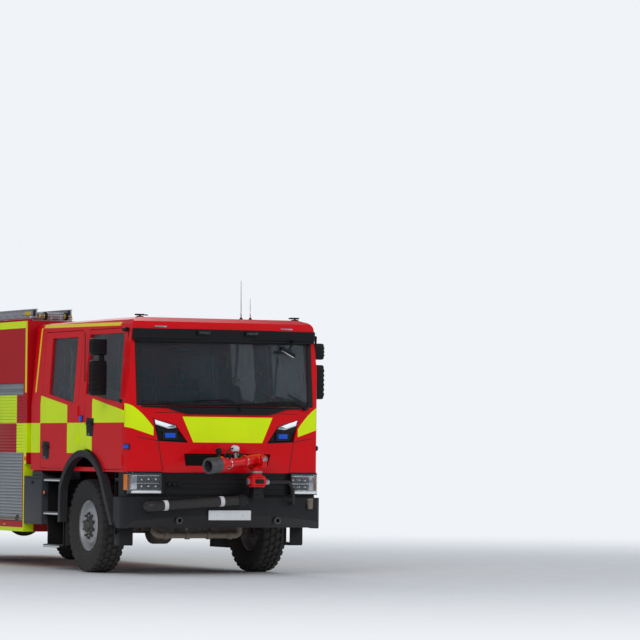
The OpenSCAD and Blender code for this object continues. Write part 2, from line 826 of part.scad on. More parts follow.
module body_shell() color("#c8202c") from_axle() {
    difference() {
        box([-body_half, body_front_y, body_bottom], [body_half, body_rear_y, body_top]);
        box([-frame_bay, body_front_y - 10, 0], [frame_bay, body_rear_y + 10, rail_top + 15]);
        box([-far, body_front_y - 10, 0], [far, box_y[1] + 10, 1262]);
        both_sides() {
            translate([rear_arch_x, rear_axle_y, axle_z]) rotate([0, 90, 0])
                cylinder(h = far, r = rear_arch_r, $fn = 96);
            box([rear_arch_x, rear_axle_y - rear_arch_r, 0], [far, rear_axle_y + rear_arch_r, axle_z]);
            for (row = locker_table)
                box([body_half - locker_depth, row[0], row[2]], [body_half + 10, row[1], shutter_top]);
        }
        box([-rear_bay_half, body_rear_y - rear_bay_depth, rear_bay_bottom],
            [rear_bay_half, body_rear_y + 10, rear_bay_top]);
    }
}

shutter_t = 30;

module roller_shutters() color("silver") from_axle() {
    both_sides() for (row = locker_table)
        box([body_half - shutter_t - 12, row[0] + seat, row[2] + seat],
            [body_half - 12, row[1] - seat, shutter_top - seat]);
    box([seat - rear_bay_half, body_rear_y - shutter_t - 12, rear_bay_bottom + seat],
        [rear_bay_half - seat, body_rear_y - 12, rear_bay_top - seat]);
}

ladder_front_y = 2000;
stile_t = 36;
gantry_h = 45;
rung_pitch = 280;
rung_r = 17;

module ladder() color("#c4c8cc") from_axle() {
    z = body_top + gantry_h + seat;
    for (side = [-1, 1])
        translate([-ladder_x + side * (ladder_w - stile_t) / 2 - stile_t / 2, ladder_front_y, z])
            cube([stile_t, ladder_len, stile_h]);
    for (y = [ladder_front_y + 150 : rung_pitch : ladder_front_y + ladder_len - 100])
        translate([-ladder_x, y, z + stile_h / 2]) rotate([0, 90, 0])
            cylinder(h = ladder_w - stile_t, r = rung_r, center = true);
}

module ladder_gantry() color("#9aa0a6") from_axle() {
    for (y = [ladder_front_y + 80, ladder_front_y + ladder_len / 2, ladder_front_y + ladder_len - 200])
        box([-ladder_x - ladder_w / 2 - 40, y, body_top], [-ladder_x + ladder_w / 2 + 40, y + 60, body_top + gantry_h]);
    rod([-ladder_x - ladder_w / 2 + 40, ladder_front_y - 60, body_top + 65],
        [-ladder_x + ladder_w / 2 - 40, ladder_front_y - 60, body_top + 65], 12);
    for (x = [-0.28, 0.28])
        translate([-ladder_x + x * ladder_w, ladder_front_y - 60, body_top + 65]) rotate([0, 90, 0])
            cylinder(h = 34, r = 50, center = true);
    for (x = [-0.12, 0.12])
        box([-ladder_x + x * ladder_w - 12, ladder_front_y - 72, body_top],
            [-ladder_x + x * ladder_w + 12, ladder_front_y - 48, body_top + 70]);
}

module rear_bumper() color("#2b2d30") from_axle() {
    difference() {
        box([-body_half + 20, body_rear_y + seat, 470], [body_half - 20, rear_most_y, 620]);
        box([-90, body_rear_y, 400], [90, rear_most_y + 10, 700]);
    }
    both_sides() box([rail_x - rail_flange, body_rear_y - 20, 470], [rail_x, body_rear_y + 40, rail_bottom - seat]);
}

swivel_z = 1190;
outlet_thread_r = 65;

module monitor_base() color("red") from_axle() {
    box([monitor_x - 95, monitor_y + 10 - 95, 1030], [monitor_x + 95, monitor_y + 105, 1160]);
    translate([monitor_x, monitor_y, 1160]) cylinder(h = swivel_z - 1160, r = 62);
    translate([monitor_x, monitor_y, 1160]) cylinder(h = 75, r = 32);
    box([monitor_x - 70, monitor_y - 60, 905 + seat], [monitor_x + 70, monitor_y + 200, 940]);
    box([monitor_x - 60, monitor_y - 50, 905 + seat], [monitor_x + 60, monitor_y + 90, 1030]);
    rod([monitor_x + 95, monitor_y + 20, 1087], [monitor_x + 165, monitor_y + 20, 1087], 26);
}

// Moves what is drawn round the upright axis, pointing along -Y, to the barrel's aim
module aimed() {
    translate([monitor_x, monitor_y, monitor_z]) rotate([0, 0, -monitor_pan]) children();
}

cheek_x = 105;

module monitor_swivel() color("red") from_axle() {
    aimed() {
        difference() {
            union() {
                translate([0, 0, swivel_z + pivot_gap - monitor_z]) cylinder(h = 70, r = 66);
                box([-cheek_x - 30, -50, -105], [cheek_x + 30, 50, -80]);
                both_sides() box([cheek_x, -50, -105], [cheek_x + 30, 50, 50]);
            }
            translate([0, 0, swivel_z - 10 - monitor_z]) cylinder(h = 58, r = 32 + pivot_gap);
            rotate([0, 90, 0]) cylinder(h = 400, r = 22 + pivot_gap, center = true);
        }
    }
}

module monitor_barrel() color("red") from_axle() {
    aimed() rotate([monitor_dip, 0, 0]) {
        rotate([0, 90, 0]) cylinder(h = 2 * (cheek_x + 30), r = 22, center = true);
        rotate([0, 90, 0]) cylinder(h = 2 * (cheek_x - run_gap), r = 62, center = true);
        rod([0, 0, 0], [0, -545, 0], 55);
        rod([0, -200, 0], [0, -230, 0], 70);
        rod([0, -420, 0], [0, -450, 0], 68);
        difference() {
            rod([0, -540, 0], [0, -barrel_reach, 0], nozzle_r);
            rod([0, -barrel_reach + 160, 0], [0, -barrel_reach - 10, 0], outlet_thread_r);
        }
        box([-20, -480, 50], [20, -440, 150]);
        rod([0, -490, 165], [0, -430, 165], 45);
    }
}

module bumper_hose() color("#1a1a1c") from_axle() {
    pipe([[hose_hole.x, bumper_front_y + 190, hose_hole.y], [hose_hole.x, hose_y, hose_hole.y],
          [monitor_x - 100, hose_y, 885]], hose_r, 70);
}

// Where the bumper's bowed face lies behind its foremost line at the drain pipe
drain_bow = 40;

module drain_pipe() color("#1a1a1c") from_axle() {
    pipe([[monitor_x + 165 + seat, monitor_y + 20, 1087], [monitor_x + 420, monitor_y + 20, 1090],
          [760, -1620, 1000], [790, bumper_front_y - 30, 850],
          [790, bumper_front_y + drain_bow, 838]], 19, 28);
}

lug_t = 36;
knuckle_plate_x = boss_r + run_gap;
spindle_end = front_wheel_x + 60 - kingpin_x;
arm_pin_r = 16;

// A knuckle about its own kingpin, with the wheel on the +X side
module knuckle_shape() {
    lug_z = boss_half + run_gap;
    cylinder(h = 2 * (lug_z + lug_t), r = kingpin_r, center = true);
    for (z = [lug_z, -lug_z - lug_t]) translate([0, 0, z]) {
        cylinder(h = lug_t, r = boss_r);
        translate([0, -boss_r, 0]) cube([knuckle_plate_x + 30, 2 * boss_r, lug_t]);
    }
    translate([knuckle_plate_x, -boss_r, -lug_z - lug_t])
        cube([30, 2 * boss_r, 2 * (lug_z + lug_t)]);
    rod([knuckle_plate_x + 30, 0, 0], [spindle_end, 0, 0], spindle_r);
    box([-25, 0, -lug_z - lug_t], [25, steer_arm, -lug_z]);
    translate([0, steer_arm, -lug_z - lug_t]) cylinder(h = lug_t, r = 25);
    translate([0, steer_arm, -lug_z - 1]) cylinder(h = 56, r = arm_pin_r);
}

module knuckle_left() color("dimgray") from_axle()
    translate([kingpin_x, 0, axle_z]) knuckle_shape();

module knuckle_right() color("dimgray") from_axle()
    translate([-kingpin_x, 0, axle_z]) mirror([1, 0, 0]) knuckle_shape();

module tie_rod() color("dimgray") from_axle() {
    z = axle_z - boss_half - run_gap + 27;
    difference() {
        union() {
            rod([30 - kingpin_x, steer_arm, z], [kingpin_x - 30, steer_arm, z], 20);
            both_sides() translate([kingpin_x, steer_arm, z - 22]) cylinder(h = 44, r = 32);
        }
        both_sides() translate([kingpin_x, steer_arm, z - 50])
            cylinder(h = 100, r = arm_pin_r + pivot_gap);
    }
}

tread_depth = 20;
lug_count = 18;
tread_lug_w = 62;

// Half width and radius of a tyre's section, from rim to crown
function tyre_section(w) = [
    [rim_r + seat, -0.36 * w], [rim_r + 60, -0.47 * w], [rim_r + 130, -w / 2], [tyre_r - 50, -0.46 * w],
    [tyre_r - tread_depth, -0.36 * w], [tyre_r - tread_depth, 0.36 * w], [tyre_r - 50, 0.46 * w], [rim_r + 130, w / 2], [rim_r + 60, 0.47 * w], [rim_r + seat, 0.36 * w]
];

// Turned about the axle, which lies along X
module turned(x, y) {
    translate([x, y, axle_z]) rotate([0, 90, 0]) rotate_extrude($fn = 96) children();
}

// Two rows of lugs, set half a pitch apart, with a lug of one row straight below the axle
module tread_lugs() {
    for (side = [-1, 1], i = [0 : lug_count - 1])
        rotate([(i + (side + 1) / 4) * 360 / lug_count, 0, 0])
            translate([side > 0 ? 10 : -10 - 0.36 * tyre_w, -tread_lug_w / 2, -tyre_r - 5])
                cube([0.36 * tyre_w, tread_lug_w, tread_depth + 20]);
}

module tyre(x, y) {
    turned(x, y) polygon(tyre_section(tyre_w));
    translate([x, y, axle_z]) intersection() {
        tread_lugs();
        rotate([0, 90, 0]) cylinder(h = tyre_w, r = tyre_r, center = true, $fn = 96);
    }
}

disc_r = 190;
hub_r = 115;
rim_t = 12;

// Section of a rim: barrel, disc set out by dish, and hub
module rim_section(dish, hub_from, hub_to) {
    translate([rim_r - rim_t, -0.36 * tyre_w]) square([rim_t, 0.72 * tyre_w]);
    for (side = [-1, 1])
        translate([rim_r - rim_t, side * 0.36 * tyre_w - 6]) square([rim_t + 3 * seat - 1, 12]);
    lean = dish > 0 ? -50 : 50;
    polygon([[disc_r - 1, dish], [rim_r - rim_t + 1, dish + lean],
             [rim_r - rim_t + 1, dish + lean + 20], [disc_r - 1, dish + 20]]);
    translate([spindle_r + pivot_gap, dish]) square([disc_r - spindle_r - pivot_gap, 20]);
    translate([spindle_r + pivot_gap, hub_from]) square([hub_r - spindle_r - pivot_gap, hub_to - hub_from]);
}

module front_rim() {
    turned(front_wheel_x, 0) {
        rim_section(70, -20, 150);
        translate([0, spindle_end + kingpin_x - front_wheel_x + run_gap])
            square([spindle_r + 2, 150 - (spindle_end + kingpin_x - front_wheel_x + run_gap)]);
    }
}

module rear_rims() {
    turned(rear_wheel_x + twin_pitch / 2, rear_axle_y) rim_section(-120, -140, 40);
    turned(rear_wheel_x + twin_pitch / 2, rear_axle_y)
        translate([0, 65]) square([hub_r, 20]);
    turned(rear_wheel_x + twin_pitch / 2, rear_axle_y)
        translate([spindle_r + pivot_gap, 20]) square([hub_r - spindle_r - pivot_gap, 50]);
    turned(rear_wheel_x - twin_pitch / 2, rear_axle_y) {
        rim_section(120, 40, twin_pitch - 130);
    }
}

module rear_tyres() {
    for (side = [-1, 1]) tyre(rear_wheel_x + side * twin_pitch / 2, rear_axle_y);
}

module front_tyre_left() color("#222222") from_axle() tyre(front_wheel_x, 0);
module front_tyre_right() color("#222222") from_axle() on_side(-1) tyre(front_wheel_x, 0);
module front_rim_left() color("silver") from_axle() front_rim();
module front_rim_right() color("silver") from_axle() on_side(-1) front_rim();
module rear_tyres_left() color("#222222") from_axle() rear_tyres();
module rear_tyres_right() color("#222222") from_axle() on_side(-1) rear_tyres();
module rear_rims_left() color("silver") from_axle() rear_rims();
module rear_rims_right() color("silver") from_axle() on_side(-1) rear_rims();

chassis_frame();
power_train();
front_axle();
front_differential();
rear_axle();
front_springs();
rear_springs();
front_bumper();
water_pipe();
head_lamps();
grille();
cab_shell();
cab_trim();
front_panel();
windscreen();
dashboard();
seats();
door_front_left();
door_front_right();
door_rear_left();
door_rear_right();
glass_front_left();
glass_front_right();
glass_rear_left();
glass_rear_right();
mirror_left();
mirror_right();
wheel_arches();
entry_steps();
side_boxes();
roof_fittings();
body_shell();
roller_shutters();
ladder();
ladder_gantry();
rear_bumper();
monitor_base();
monitor_swivel();
monitor_barrel();
bumper_hose();
drain_pipe();
knuckle_left();
knuckle_right();
tie_rod();
front_tyre_left();
front_tyre_right();
front_rim_left();
front_rim_right();
rear_tyres_left();
rear_tyres_right();
rear_rims_left();
rear_rims_right();
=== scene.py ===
import math

import bpy
from mathutils import Matrix, Vector


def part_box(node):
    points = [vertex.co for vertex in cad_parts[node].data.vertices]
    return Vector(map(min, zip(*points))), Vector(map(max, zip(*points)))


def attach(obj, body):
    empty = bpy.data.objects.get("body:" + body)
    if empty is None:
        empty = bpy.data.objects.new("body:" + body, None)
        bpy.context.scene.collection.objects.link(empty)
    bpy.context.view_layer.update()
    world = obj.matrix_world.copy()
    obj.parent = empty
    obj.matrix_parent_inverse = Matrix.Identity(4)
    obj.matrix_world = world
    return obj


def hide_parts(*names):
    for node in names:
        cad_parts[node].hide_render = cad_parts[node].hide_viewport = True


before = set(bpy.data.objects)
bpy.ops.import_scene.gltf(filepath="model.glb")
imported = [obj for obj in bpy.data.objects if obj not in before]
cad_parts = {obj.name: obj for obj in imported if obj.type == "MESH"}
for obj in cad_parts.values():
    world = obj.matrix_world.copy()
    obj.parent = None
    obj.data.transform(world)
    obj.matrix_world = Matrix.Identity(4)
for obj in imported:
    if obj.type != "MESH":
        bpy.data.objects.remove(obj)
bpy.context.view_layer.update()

tyre_low, tyre_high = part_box("front_tyre_left")
AXLE_Y = (tyre_low.y + tyre_high.y) / 2
AXLE_Z = (tyre_low.z + tyre_high.z) / 2
print("front axle at y", round(AXLE_Y, 4), "height", round(AXLE_Z, 4))


def at(x, y, z):
    """A place read from the front axle's line, as the CAD source reads it."""
    return Vector((x, y + AXLE_Y, z))


# %% [markdown]
# ## Camera, floor and light
# A long lens stands about 47 metres off, a little above the bumper, as the photograph was
# taken. The floor is a plain pale sheet. Large soft lamps and an even sky keep a painted colour
# near the value it is written with.
# %% Place the camera
LENS_MM, SENSOR_MM = 219.9, 36.0
YAW, PITCH, ROLL = (math.radians(a) for a in (25.28, 1.95, 0.55))
ahead = Vector((math.sin(YAW) * math.cos(PITCH), math.cos(YAW) * math.cos(PITCH), math.sin(PITCH)))
level_right = Vector((math.cos(YAW), -math.sin(YAW), 0))
level_up = level_right.cross(ahead)
right = math.cos(ROLL) * level_right + math.sin(ROLL) * level_up
up = math.cos(ROLL) * level_up - math.sin(ROLL) * level_right
bpy.ops.object.camera_add()
camera = bpy.context.object
camera.data.lens = LENS_MM
camera.data.sensor_width = SENSOR_MM
camera.data.clip_end = 900
turn = Matrix((right, up, -ahead)).transposed().to_4x4()
camera.matrix_world = Matrix.Translation(at(-18.398, -42.87, 1.43)) @ turn
bpy.context.scene.camera = camera
print("camera", [round(v, 2) for v in camera.location])


# %% Lay the floor and hang the lamps
def deselect():
    bpy.ops.object.select_all(action="DESELECT")


deselect()
bpy.ops.mesh.primitive_plane_add(size=900, location=(0, 0, 0))
floor = bpy.context.object
floor.name = "floor"


def soft_lamp(name, place, aim, size, power):
    bpy.ops.object.light_add(type="AREA", location=place)
    lamp = bpy.context.object
    lamp.name = name
    lamp.data.shape = "DISK"
    lamp.data.size = size
    lamp.data.energy = power
    lamp.rotation_euler = (Vector(aim) - Vector(place)).to_track_quat("-Z", "Y").to_euler()
    return lamp


soft_lamp("key_lamp", (-16, -20, 15), (0, -2, 1.2), 11, 1500)
soft_lamp("fill_lamp", (17, -18, 11), (0, -2, 1.2), 13, 700)
soft_lamp("back_lamp", (6, 19, 14), (0, 1, 1.5), 12, 800)
world = bpy.data.worlds.new("pale_sky")
bpy.context.scene.world = world
world.use_nodes = True
bpy.context.scene.view_settings.view_transform = "Standard"


# %% Node helpers
def fill(tree, made, sockets):
    """Sets a node's sockets by name, with underscores for spaces, or links them to an output."""
    for name, value in sockets.items():
        socket = made.inputs[name.replace("_", " ")]
        if isinstance(value, bpy.types.NodeSocket):
            tree.links.new(value, socket)
        else:
            socket.default_value = value
    return made


def node(tree, kind, **sockets):
    return fill(tree, tree.nodes.new(kind), sockets)


class Field:
    """A number that changes over the surface. Masks then read like plain sums."""

    def __init__(self, tree, socket):
        self.tree, self.socket = tree, socket

    def work(self, operation, *others, clamp=False):
        made = self.tree.nodes.new("ShaderNodeMath")
        made.operation, made.use_clamp = operation, clamp
        for slot, value in enumerate((self, *others)):
            if isinstance(value, Field):
                self.tree.links.new(value.socket, made.inputs[slot])
            else:
                made.inputs[slot].default_value = value
        return Field(self.tree, made.outputs[0])

    def __add__(self, other):
        return self.work("ADD", other)

    def __sub__(self, other):
        return self.work("SUBTRACT", other)

    def __mul__(self, other):
        return self.work("MULTIPLY", other)

    def __gt__(self, other):
        return self.work("GREATER_THAN", other)

    def __lt__(self, other):
        return self.work("LESS_THAN", other)

    def between(self, low, high):
        return (self > low) * (self < high)

    def near(self, other, reach):
        return (self - other).work("ABSOLUTE") < reach

    def also(self, other):
        return self.work("MAXIMUM", other)

    def without(self, other):
        return self.work("SUBTRACT", other, clamp=True)


def object_place(tree):
    return node(tree, "ShaderNodeTexCoord").outputs["Object"]


def places(tree):
    """The three Object coordinates as fields, y read from the front axle."""
    split = node(tree, "ShaderNodeSeparateXYZ", Vector=object_place(tree))
    x, y, z = (Field(tree, s) for s in split.outputs)
    return x, y - AXLE_Y, z


def group(name, inputs, outputs):
    """An empty shader node group with named sockets."""
    made = bpy.data.node_groups.new(name, "ShaderNodeTree")
    for label, kind, value in inputs:
        socket = made.interface.new_socket(label, in_out="INPUT", socket_type=kind)
        socket.default_value = value
    for label, kind in outputs:
        made.interface.new_socket(label, in_out="OUTPUT", socket_type=kind)
    return made, made.nodes.new("NodeGroupInput").outputs, made.nodes.new("NodeGroupOutput").inputs


def use(tree, made_group, **sockets):
    """Places a node group in a material."""
    made = tree.nodes.new("ShaderNodeGroup")
    made.node_tree = made_group
    return fill(tree, made, sockets).outputs


def linked(tree, made, sources):
    """Links outputs to a node's sockets by number."""
    for number, source in sources.items():
        tree.links.new(source, made.inputs[number])
    return made.outputs


def mix(tree, mask, plain, marked):
    """A colour that goes from plain to marked as the mask goes from 0 to 1."""
    made = node(tree, "ShaderNodeMix")
    made.data_type = "RGBA"
    return linked(tree, made, {0: mask, 6: plain, 7: marked})[2]


def either(tree, mask, plain, marked):
    """The same for two shaders."""
    return linked(tree, node(tree, "ShaderNodeMixShader"), {0: mask, 1: plain, 2: marked})[0]


FLOAT, COLOUR, VECTOR = "NodeSocketFloat", "NodeSocketColor", "NodeSocketVector"

# %% [markdown]
# ## Effects that several finishes share
# Road dust lies thicker low down, gloss paint has a faint orange peel, moulded plastic has a fine
# grain, and bare metal has drawn lines. Each is one node group with named sockets, so that every
# finish sets its own amount.
# %% Dust that gathers low down
dust, given, put = group("road_dust", [
    ("Color", COLOUR, (1, 1, 1, 1)), ("Dust Color", COLOUR, (0.34, 0.29, 0.24, 1)),
    ("Amount", FLOAT, 0.3), ("Height", FLOAT, 1.2), ("Roughness", FLOAT, 0.4),
], [("Color", COLOUR), ("Roughness", FLOAT)])
place, height = object_place(dust), places(dust)[2]
cloud = node(dust, "ShaderNodeTexNoise", Vector=place, Scale=2.2, Detail=6.0, Roughness=0.62)
fine = node(dust, "ShaderNodeTexNoise", Vector=place, Scale=38.0, Detail=3.0)
low = (Field(dust, given["Height"]) - height).work("MULTIPLY", 0.9, clamp=True)
patch = Field(dust, cloud.outputs["Fac"]) * Field(dust, fine.outputs["Fac"]) * 2.6
mask = (low * patch * Field(dust, given["Amount"])).work("MINIMUM", 0.85)
blend = mix(dust, mask.socket, given["Color"], given["Dust Color"])
dust.links.new(blend, put["Color"])
dust.links.new((Field(dust, given["Roughness"]) + mask * 0.4).socket, put["Roughness"])


# %% Fine surface relief: peel, grain and drawn lines
def relief_group(name, scale, detail, stretch=1):
    made, given, put = group(name, [("Strength", FLOAT, 0.1), ("Distance", FLOAT, 0.001)],
                             [("Normal", VECTOR)])
    mapped = node(made, "ShaderNodeMapping", Vector=object_place(made), Scale=(1, 1, stretch))
    noise = node(made, "ShaderNodeTexNoise", Vector=mapped.outputs[0], Scale=scale, Detail=detail)
    bump = node(made, "ShaderNodeBump", Height=noise.outputs["Fac"], Strength=given["Strength"],
                Distance=given["Distance"])
    made.links.new(bump.outputs[0], put["Normal"])
    return made


peel = relief_group("orange_peel", 140.0, 2.0)
grain = relief_group("moulded_grain", 420.0, 3.0)
drawn = relief_group("drawn_metal", 60.0, 4.0, stretch=14)
print("effect groups", [g.name for g in bpy.data.node_groups])

# %% [markdown]
# ## The livery
# The truck is red with fluorescent yellow blocks in two rows along its sides, yellow corner
# patches, a yellow panel between the front lamps and thin yellow edge strips. All of it is read
# from the truck's own coordinates, so the pattern runs on from cab to doors to body, and it stays
# on a door as the door swings.
# %% Side blocks in two rows
ROW_TOP, ROW_MID, ROW_LOW = 2.106, 1.761, 1.403
BLOCK_EDGES = [-1.238, -0.26, 0.53, 1.41, 2.19, 3.04, 3.89, 4.74, 5.59, 6.44, 7.3]
REAR_Y, REAR_CORNER_X = 7.17, 1.243
livery, given, put = group("livery", [
    ("Paint", COLOUR, (0.6, 0, 0, 1)), ("Yellow", COLOUR, (0.78, 1.0, 0.0, 1)),
    ("Amber", COLOUR, (1.0, 0.74, 0.012, 1)), ("Band Red", COLOUR, (0.5, 0.006, 0.012, 1)),
    ("Band", FLOAT, 0.0)], [("Color", COLOUR), ("Band Mask", FLOAT)])
x, y, z = places(livery)
wide = x.work("ABSOLUTE")
rows = [y.between(*BLOCK_EDGES[:2]), y.between(*BLOCK_EDGES[1:3])]
for i in range(2, len(BLOCK_EDGES) - 1):
    rows[i % 2] = rows[i % 2].also(y.between(BLOCK_EDGES[i], BLOCK_EDGES[i + 1]))
body_side = (wide > 1.12) * (y < REAR_Y).also(wide > REAR_CORNER_X)
upper = rows[0] * z.between(ROW_MID, ROW_TOP)
lower = rows[1] * z.between(ROW_LOW, ROW_MID)
sill_line = (y - 0.2) * 0.135 + 1.93
front_sill = (y + 1.206) * 0.148 + 1.905
door_cut = (y < -0.1) * (z > front_sill)
rear_cut = y.between(0.2, 1.5) * (z > sill_line)
blocks = upper.without(door_cut).without(rear_cut).also(lower) * body_side
# %% Corner patches, front panel and thin strips
across = (wide - 0.91) * (1 / 0.31)
patch_top = across * (across * -0.139 + 0.424) + 1.70
patch_low = across * 0.101 + 1.612
corner = (wide > 0.915) * (y < -1.243) * (z < patch_top) * (z > patch_low)
panel_half = (z - 1.54) * 0.45 + 0.437
panel = (y < -1.2) * z.between(1.54, 1.835) * (wide < panel_half)
low_strip = (y > 1.8) * (z < 0.488) * body_side
front_strip = y.between(1.8, 1.885) * (z < ROW_LOW) * body_side
top_strip = (y > 1.86) * z.between(2.925, 3.01) * body_side
yellow = blocks.also(corner).also(panel).also(low_strip).also(front_strip).also(top_strip)
body_pipe = y.between(1.80, 1.86) * z.between(2.135, 3.01) * body_side
roof_pipe = z.near(y * 0.012 + 2.918, 0.021) * y.between(-0.95, 1.53) * (wide > 1.02)
lean = (z - 2.135) * -0.06 + 1.60
rear_pipe = y.near(lean, 0.022) * z.between(2.135, 2.915) * body_side
amber = body_pipe.also(roof_pipe).also(rear_pipe)
# %% Rear chevrons and the mixed colour
slope = (wide * 0.9 + z).work("MODULO", 0.6)
chevrons = (y > REAR_Y) * (wide < REAR_CORNER_X) * (slope < 0.3) * z.between(0.49, 3.0)
yellow = yellow.also(chevrons)
band = z.between(ROW_LOW, ROW_TOP) * (y > 1.8) * body_side * Field(livery, given["Band"])
paint = mix(livery, band.socket, given["Paint"], given["Band Red"])
marked = mix(livery, yellow.socket, paint, given["Yellow"])
livery.links.new(mix(livery, amber.socket, marked, given["Amber"]), put["Color"])
livery.links.new(band.socket, put["Band Mask"])
print("livery nodes", len(livery.nodes))


# %% [markdown]
# ## Finishes
# Each finish is one material with a Principled BSDF. Plain numbers are set on its own sockets,
# and only what changes over the surface comes through the groups.
# %% A maker for finishes
def new_material(name):
    material = bpy.data.materials.new(name)
    material.use_nodes = True
    return material, material.node_tree, material.node_tree.nodes["Principled BSDF"]


def ranged(tree, value, low, high):
    return node(tree, "ShaderNodeMapRange", Value=value, To_Min=low, To_Max=high).outputs[0]


def finish(name, colour, rough, relief, strength, metal=0.0, coat=0.0, distance=0.001, dusty=0.0,
           height=1.3, shine=0.5, painted=False, banded=0.0):
    """A solid finish. A painted one takes the livery, a banded one only its side band."""
    material, tree, shader = new_material(name)
    base = (*colour, 1)
    if painted:
        marked = use(tree, livery, Paint=base, Band=banded)
        base = marked["Color"]
        if banded:
            metal = ranged(tree, marked["Band Mask"], metal, 0.0)
    tint = node(tree, "ShaderNodeTexNoise", Vector=object_place(tree), Scale=3.0, Detail=4.0)
    vary = node(tree, "ShaderNodeHueSaturation", Color=base,
                Value=ranged(tree, tint.outputs["Fac"], 0.9, 1.08))
    out = use(tree, dust, Color=vary.outputs[0], Amount=dusty, Height=height, Roughness=rough)
    lines = use(tree, relief, Strength=strength, Distance=distance)
    fill(tree, shader, {"Base Color": out["Color"], "Roughness": out["Roughness"],
                        "Metallic": metal, "Coat Weight": coat, "Coat Roughness": 0.06,
                        "Specular IOR Level": shine, "Normal": lines["Normal"]})
    return material


# %% Paints, plastics, metals and rubber
cab_paint = finish("cab_red_paint", (0.74, 0.0, 0.004), 0.3, peel, 0.05, coat=0.2, dusty=0.05,
                   height=1.5, shine=0.2, painted=True)
body_paint = finish("body_red_paint", (0.52, 0.001, 0.006), 0.38, peel, 0.08, coat=0.1, dusty=0.1,
                    height=1.5, shine=0.2, painted=True)
red_paint = finish("monitor_red_paint", (0.76, 0.002, 0.004), 0.32, peel, 0.1, coat=0.25,
                       dusty=0.08, shine=0.3)
black = finish("black_moulded_plastic", (0.006, 0.0065, 0.008), 0.45, grain, 0.3,
                       dusty=0.05, height=1.5, shine=0.35)
arch_plastic = finish("grey_moulded_plastic", (0.02, 0.022, 0.026), 0.5, grain, 0.35, dusty=0.15,
                      height=1.4, shine=0.4)
bumper_steel = finish("bumper_black_steel", (0.007, 0.0075, 0.01), 0.38, grain, 0.2, dusty=0.08,
                      height=1.15, shine=0.4)
chassis_steel = finish("chassis_black_steel", (0.022, 0.022, 0.024), 0.62, peel, 0.3, dusty=0.8)
cast_iron = finish("cast_grey_iron", (0.09, 0.092, 0.095), 0.6, grain, 0.6, metal=0.5,
                   distance=0.002, dusty=0.7)
box_paint = finish("box_grey_paint", (0.04, 0.045, 0.053), 0.42, peel, 0.15, dusty=0.2, shine=0.4)
alloy = finish("drawn_alloy", (0.52, 0.54, 0.56), 0.36, drawn, 0.12, metal=0.75, dusty=0.25)
shutter_alloy = finish("shutter_alloy", (0.5, 0.52, 0.54), 0.36, drawn, 0.1, metal=0.75,
                       dusty=0.15, painted=True, banded=1.0)
brass = finish("worn_brass", (0.5, 0.36, 0.12), 0.35, drawn, 0.05, metal=0.9)
seat_cloth = finish("seat_cloth", (0.035, 0.038, 0.045), 0.9, grain, 0.8)
rail_alloy = finish("ladder_alloy", (0.6, 0.62, 0.64), 0.42, drawn, 0.2, metal=0.6)
rim_paint = finish("rim_silver_paint", (0.5, 0.51, 0.53), 0.4, peel, 0.1, metal=0.45, dusty=0.55,
                   height=1.1)
steel = finish("hub_dark_steel", (0.06, 0.062, 0.068), 0.45, grain, 0.3, metal=0.7, dusty=0.5)
chrome = finish("bright_chrome", (0.82, 0.84, 0.86), 0.12, drawn, 0.02, metal=1.0)
rubber = finish("tyre_rubber", (0.014, 0.014, 0.015), 0.78, grain, 0.5, distance=0.002,
                dusty=0.14, height=1.4)
seal = finish("seal_rubber", (0.008, 0.008, 0.009), 0.6, grain, 0.2)
hose_rubber = finish("hose_rubber", (0.010, 0.010, 0.012), 0.45, grain, 0.4, dusty=0.2)
pipe_paint = finish("weathered_pipe_steel", (0.24, 0.19, 0.14), 0.6, grain, 0.7, metal=0.4,
                    distance=0.002, dusty=0.7)
dash_plastic = finish("dash_soft_plastic", (0.03, 0.032, 0.036), 0.7, grain, 0.5, distance=0.002)
white_band = finish("white_band", (0.7, 0.7, 0.68), 0.5, peel, 0.2)
plate_white = finish("bare_white_plate", (0.78, 0.79, 0.78), 0.35, peel, 0.03)
yellow_grip = finish("yellow_powder_coat", (0.75, 0.6, 0.02), 0.5, peel, 0.3)
red_webbing = finish("red_webbing", (0.5, 0.01, 0.01), 0.8, grain, 0.6)
nozzle_grey = finish("nozzle_grey_alloy", (0.12, 0.12, 0.122), 0.5, grain, 0.3, metal=0.6,
                     dusty=0.2, height=1.6)
print("finishes", len(bpy.data.materials))


# %% Glass and lamp lenses
def clear(name, colour, rough, transmission, alpha=1.0, glow=(1, 1, 1), strength=0.0):
    """Glass or a lens, with a thin uneven film."""
    material, tree, shader = new_material(name)
    film = node(tree, "ShaderNodeTexNoise", Vector=object_place(tree), Scale=4.0,
                Detail=5.0).outputs["Fac"]
    vary = node(tree, "ShaderNodeHueSaturation", Color=(*colour, 1),
                Value=ranged(tree, film, 0.92, 1.06))
    fill(tree, shader, {"Transmission Weight": transmission, "IOR": 1.45, "Alpha": alpha,
                        "Roughness": ranged(tree, film, rough * 0.6, rough * 1.6),
                        "Base Color": vary.outputs[0], "Emission Color": (*glow, 1),
                        "Emission Strength": strength})
    return material


glass = clear("cab_glass", (0.13, 0.18, 0.2), 0.02, 0.8, alpha=0.6)
lens_clear = clear("lamp_clear_lens", (0.86, 0.9, 0.93), 0.05, 0.85, alpha=0.35)
lens_blue = clear("lamp_blue_lens", (0.008, 0.08, 0.5), 0.15, 0.15, glow=(0.01, 0.11, 0.8),
                  strength=0.2)
lens_amber = clear("lamp_amber_lens", (0.9, 0.22, 0.01), 0.2, 0.1)
lens_red = clear("lamp_red_lens", (0.6, 0.0, 0.005), 0.2, 0.1)
lamp_white = clear("lamp_white_strip", (0.86, 0.88, 0.9), 0.2, 0.0, strength=0.25)

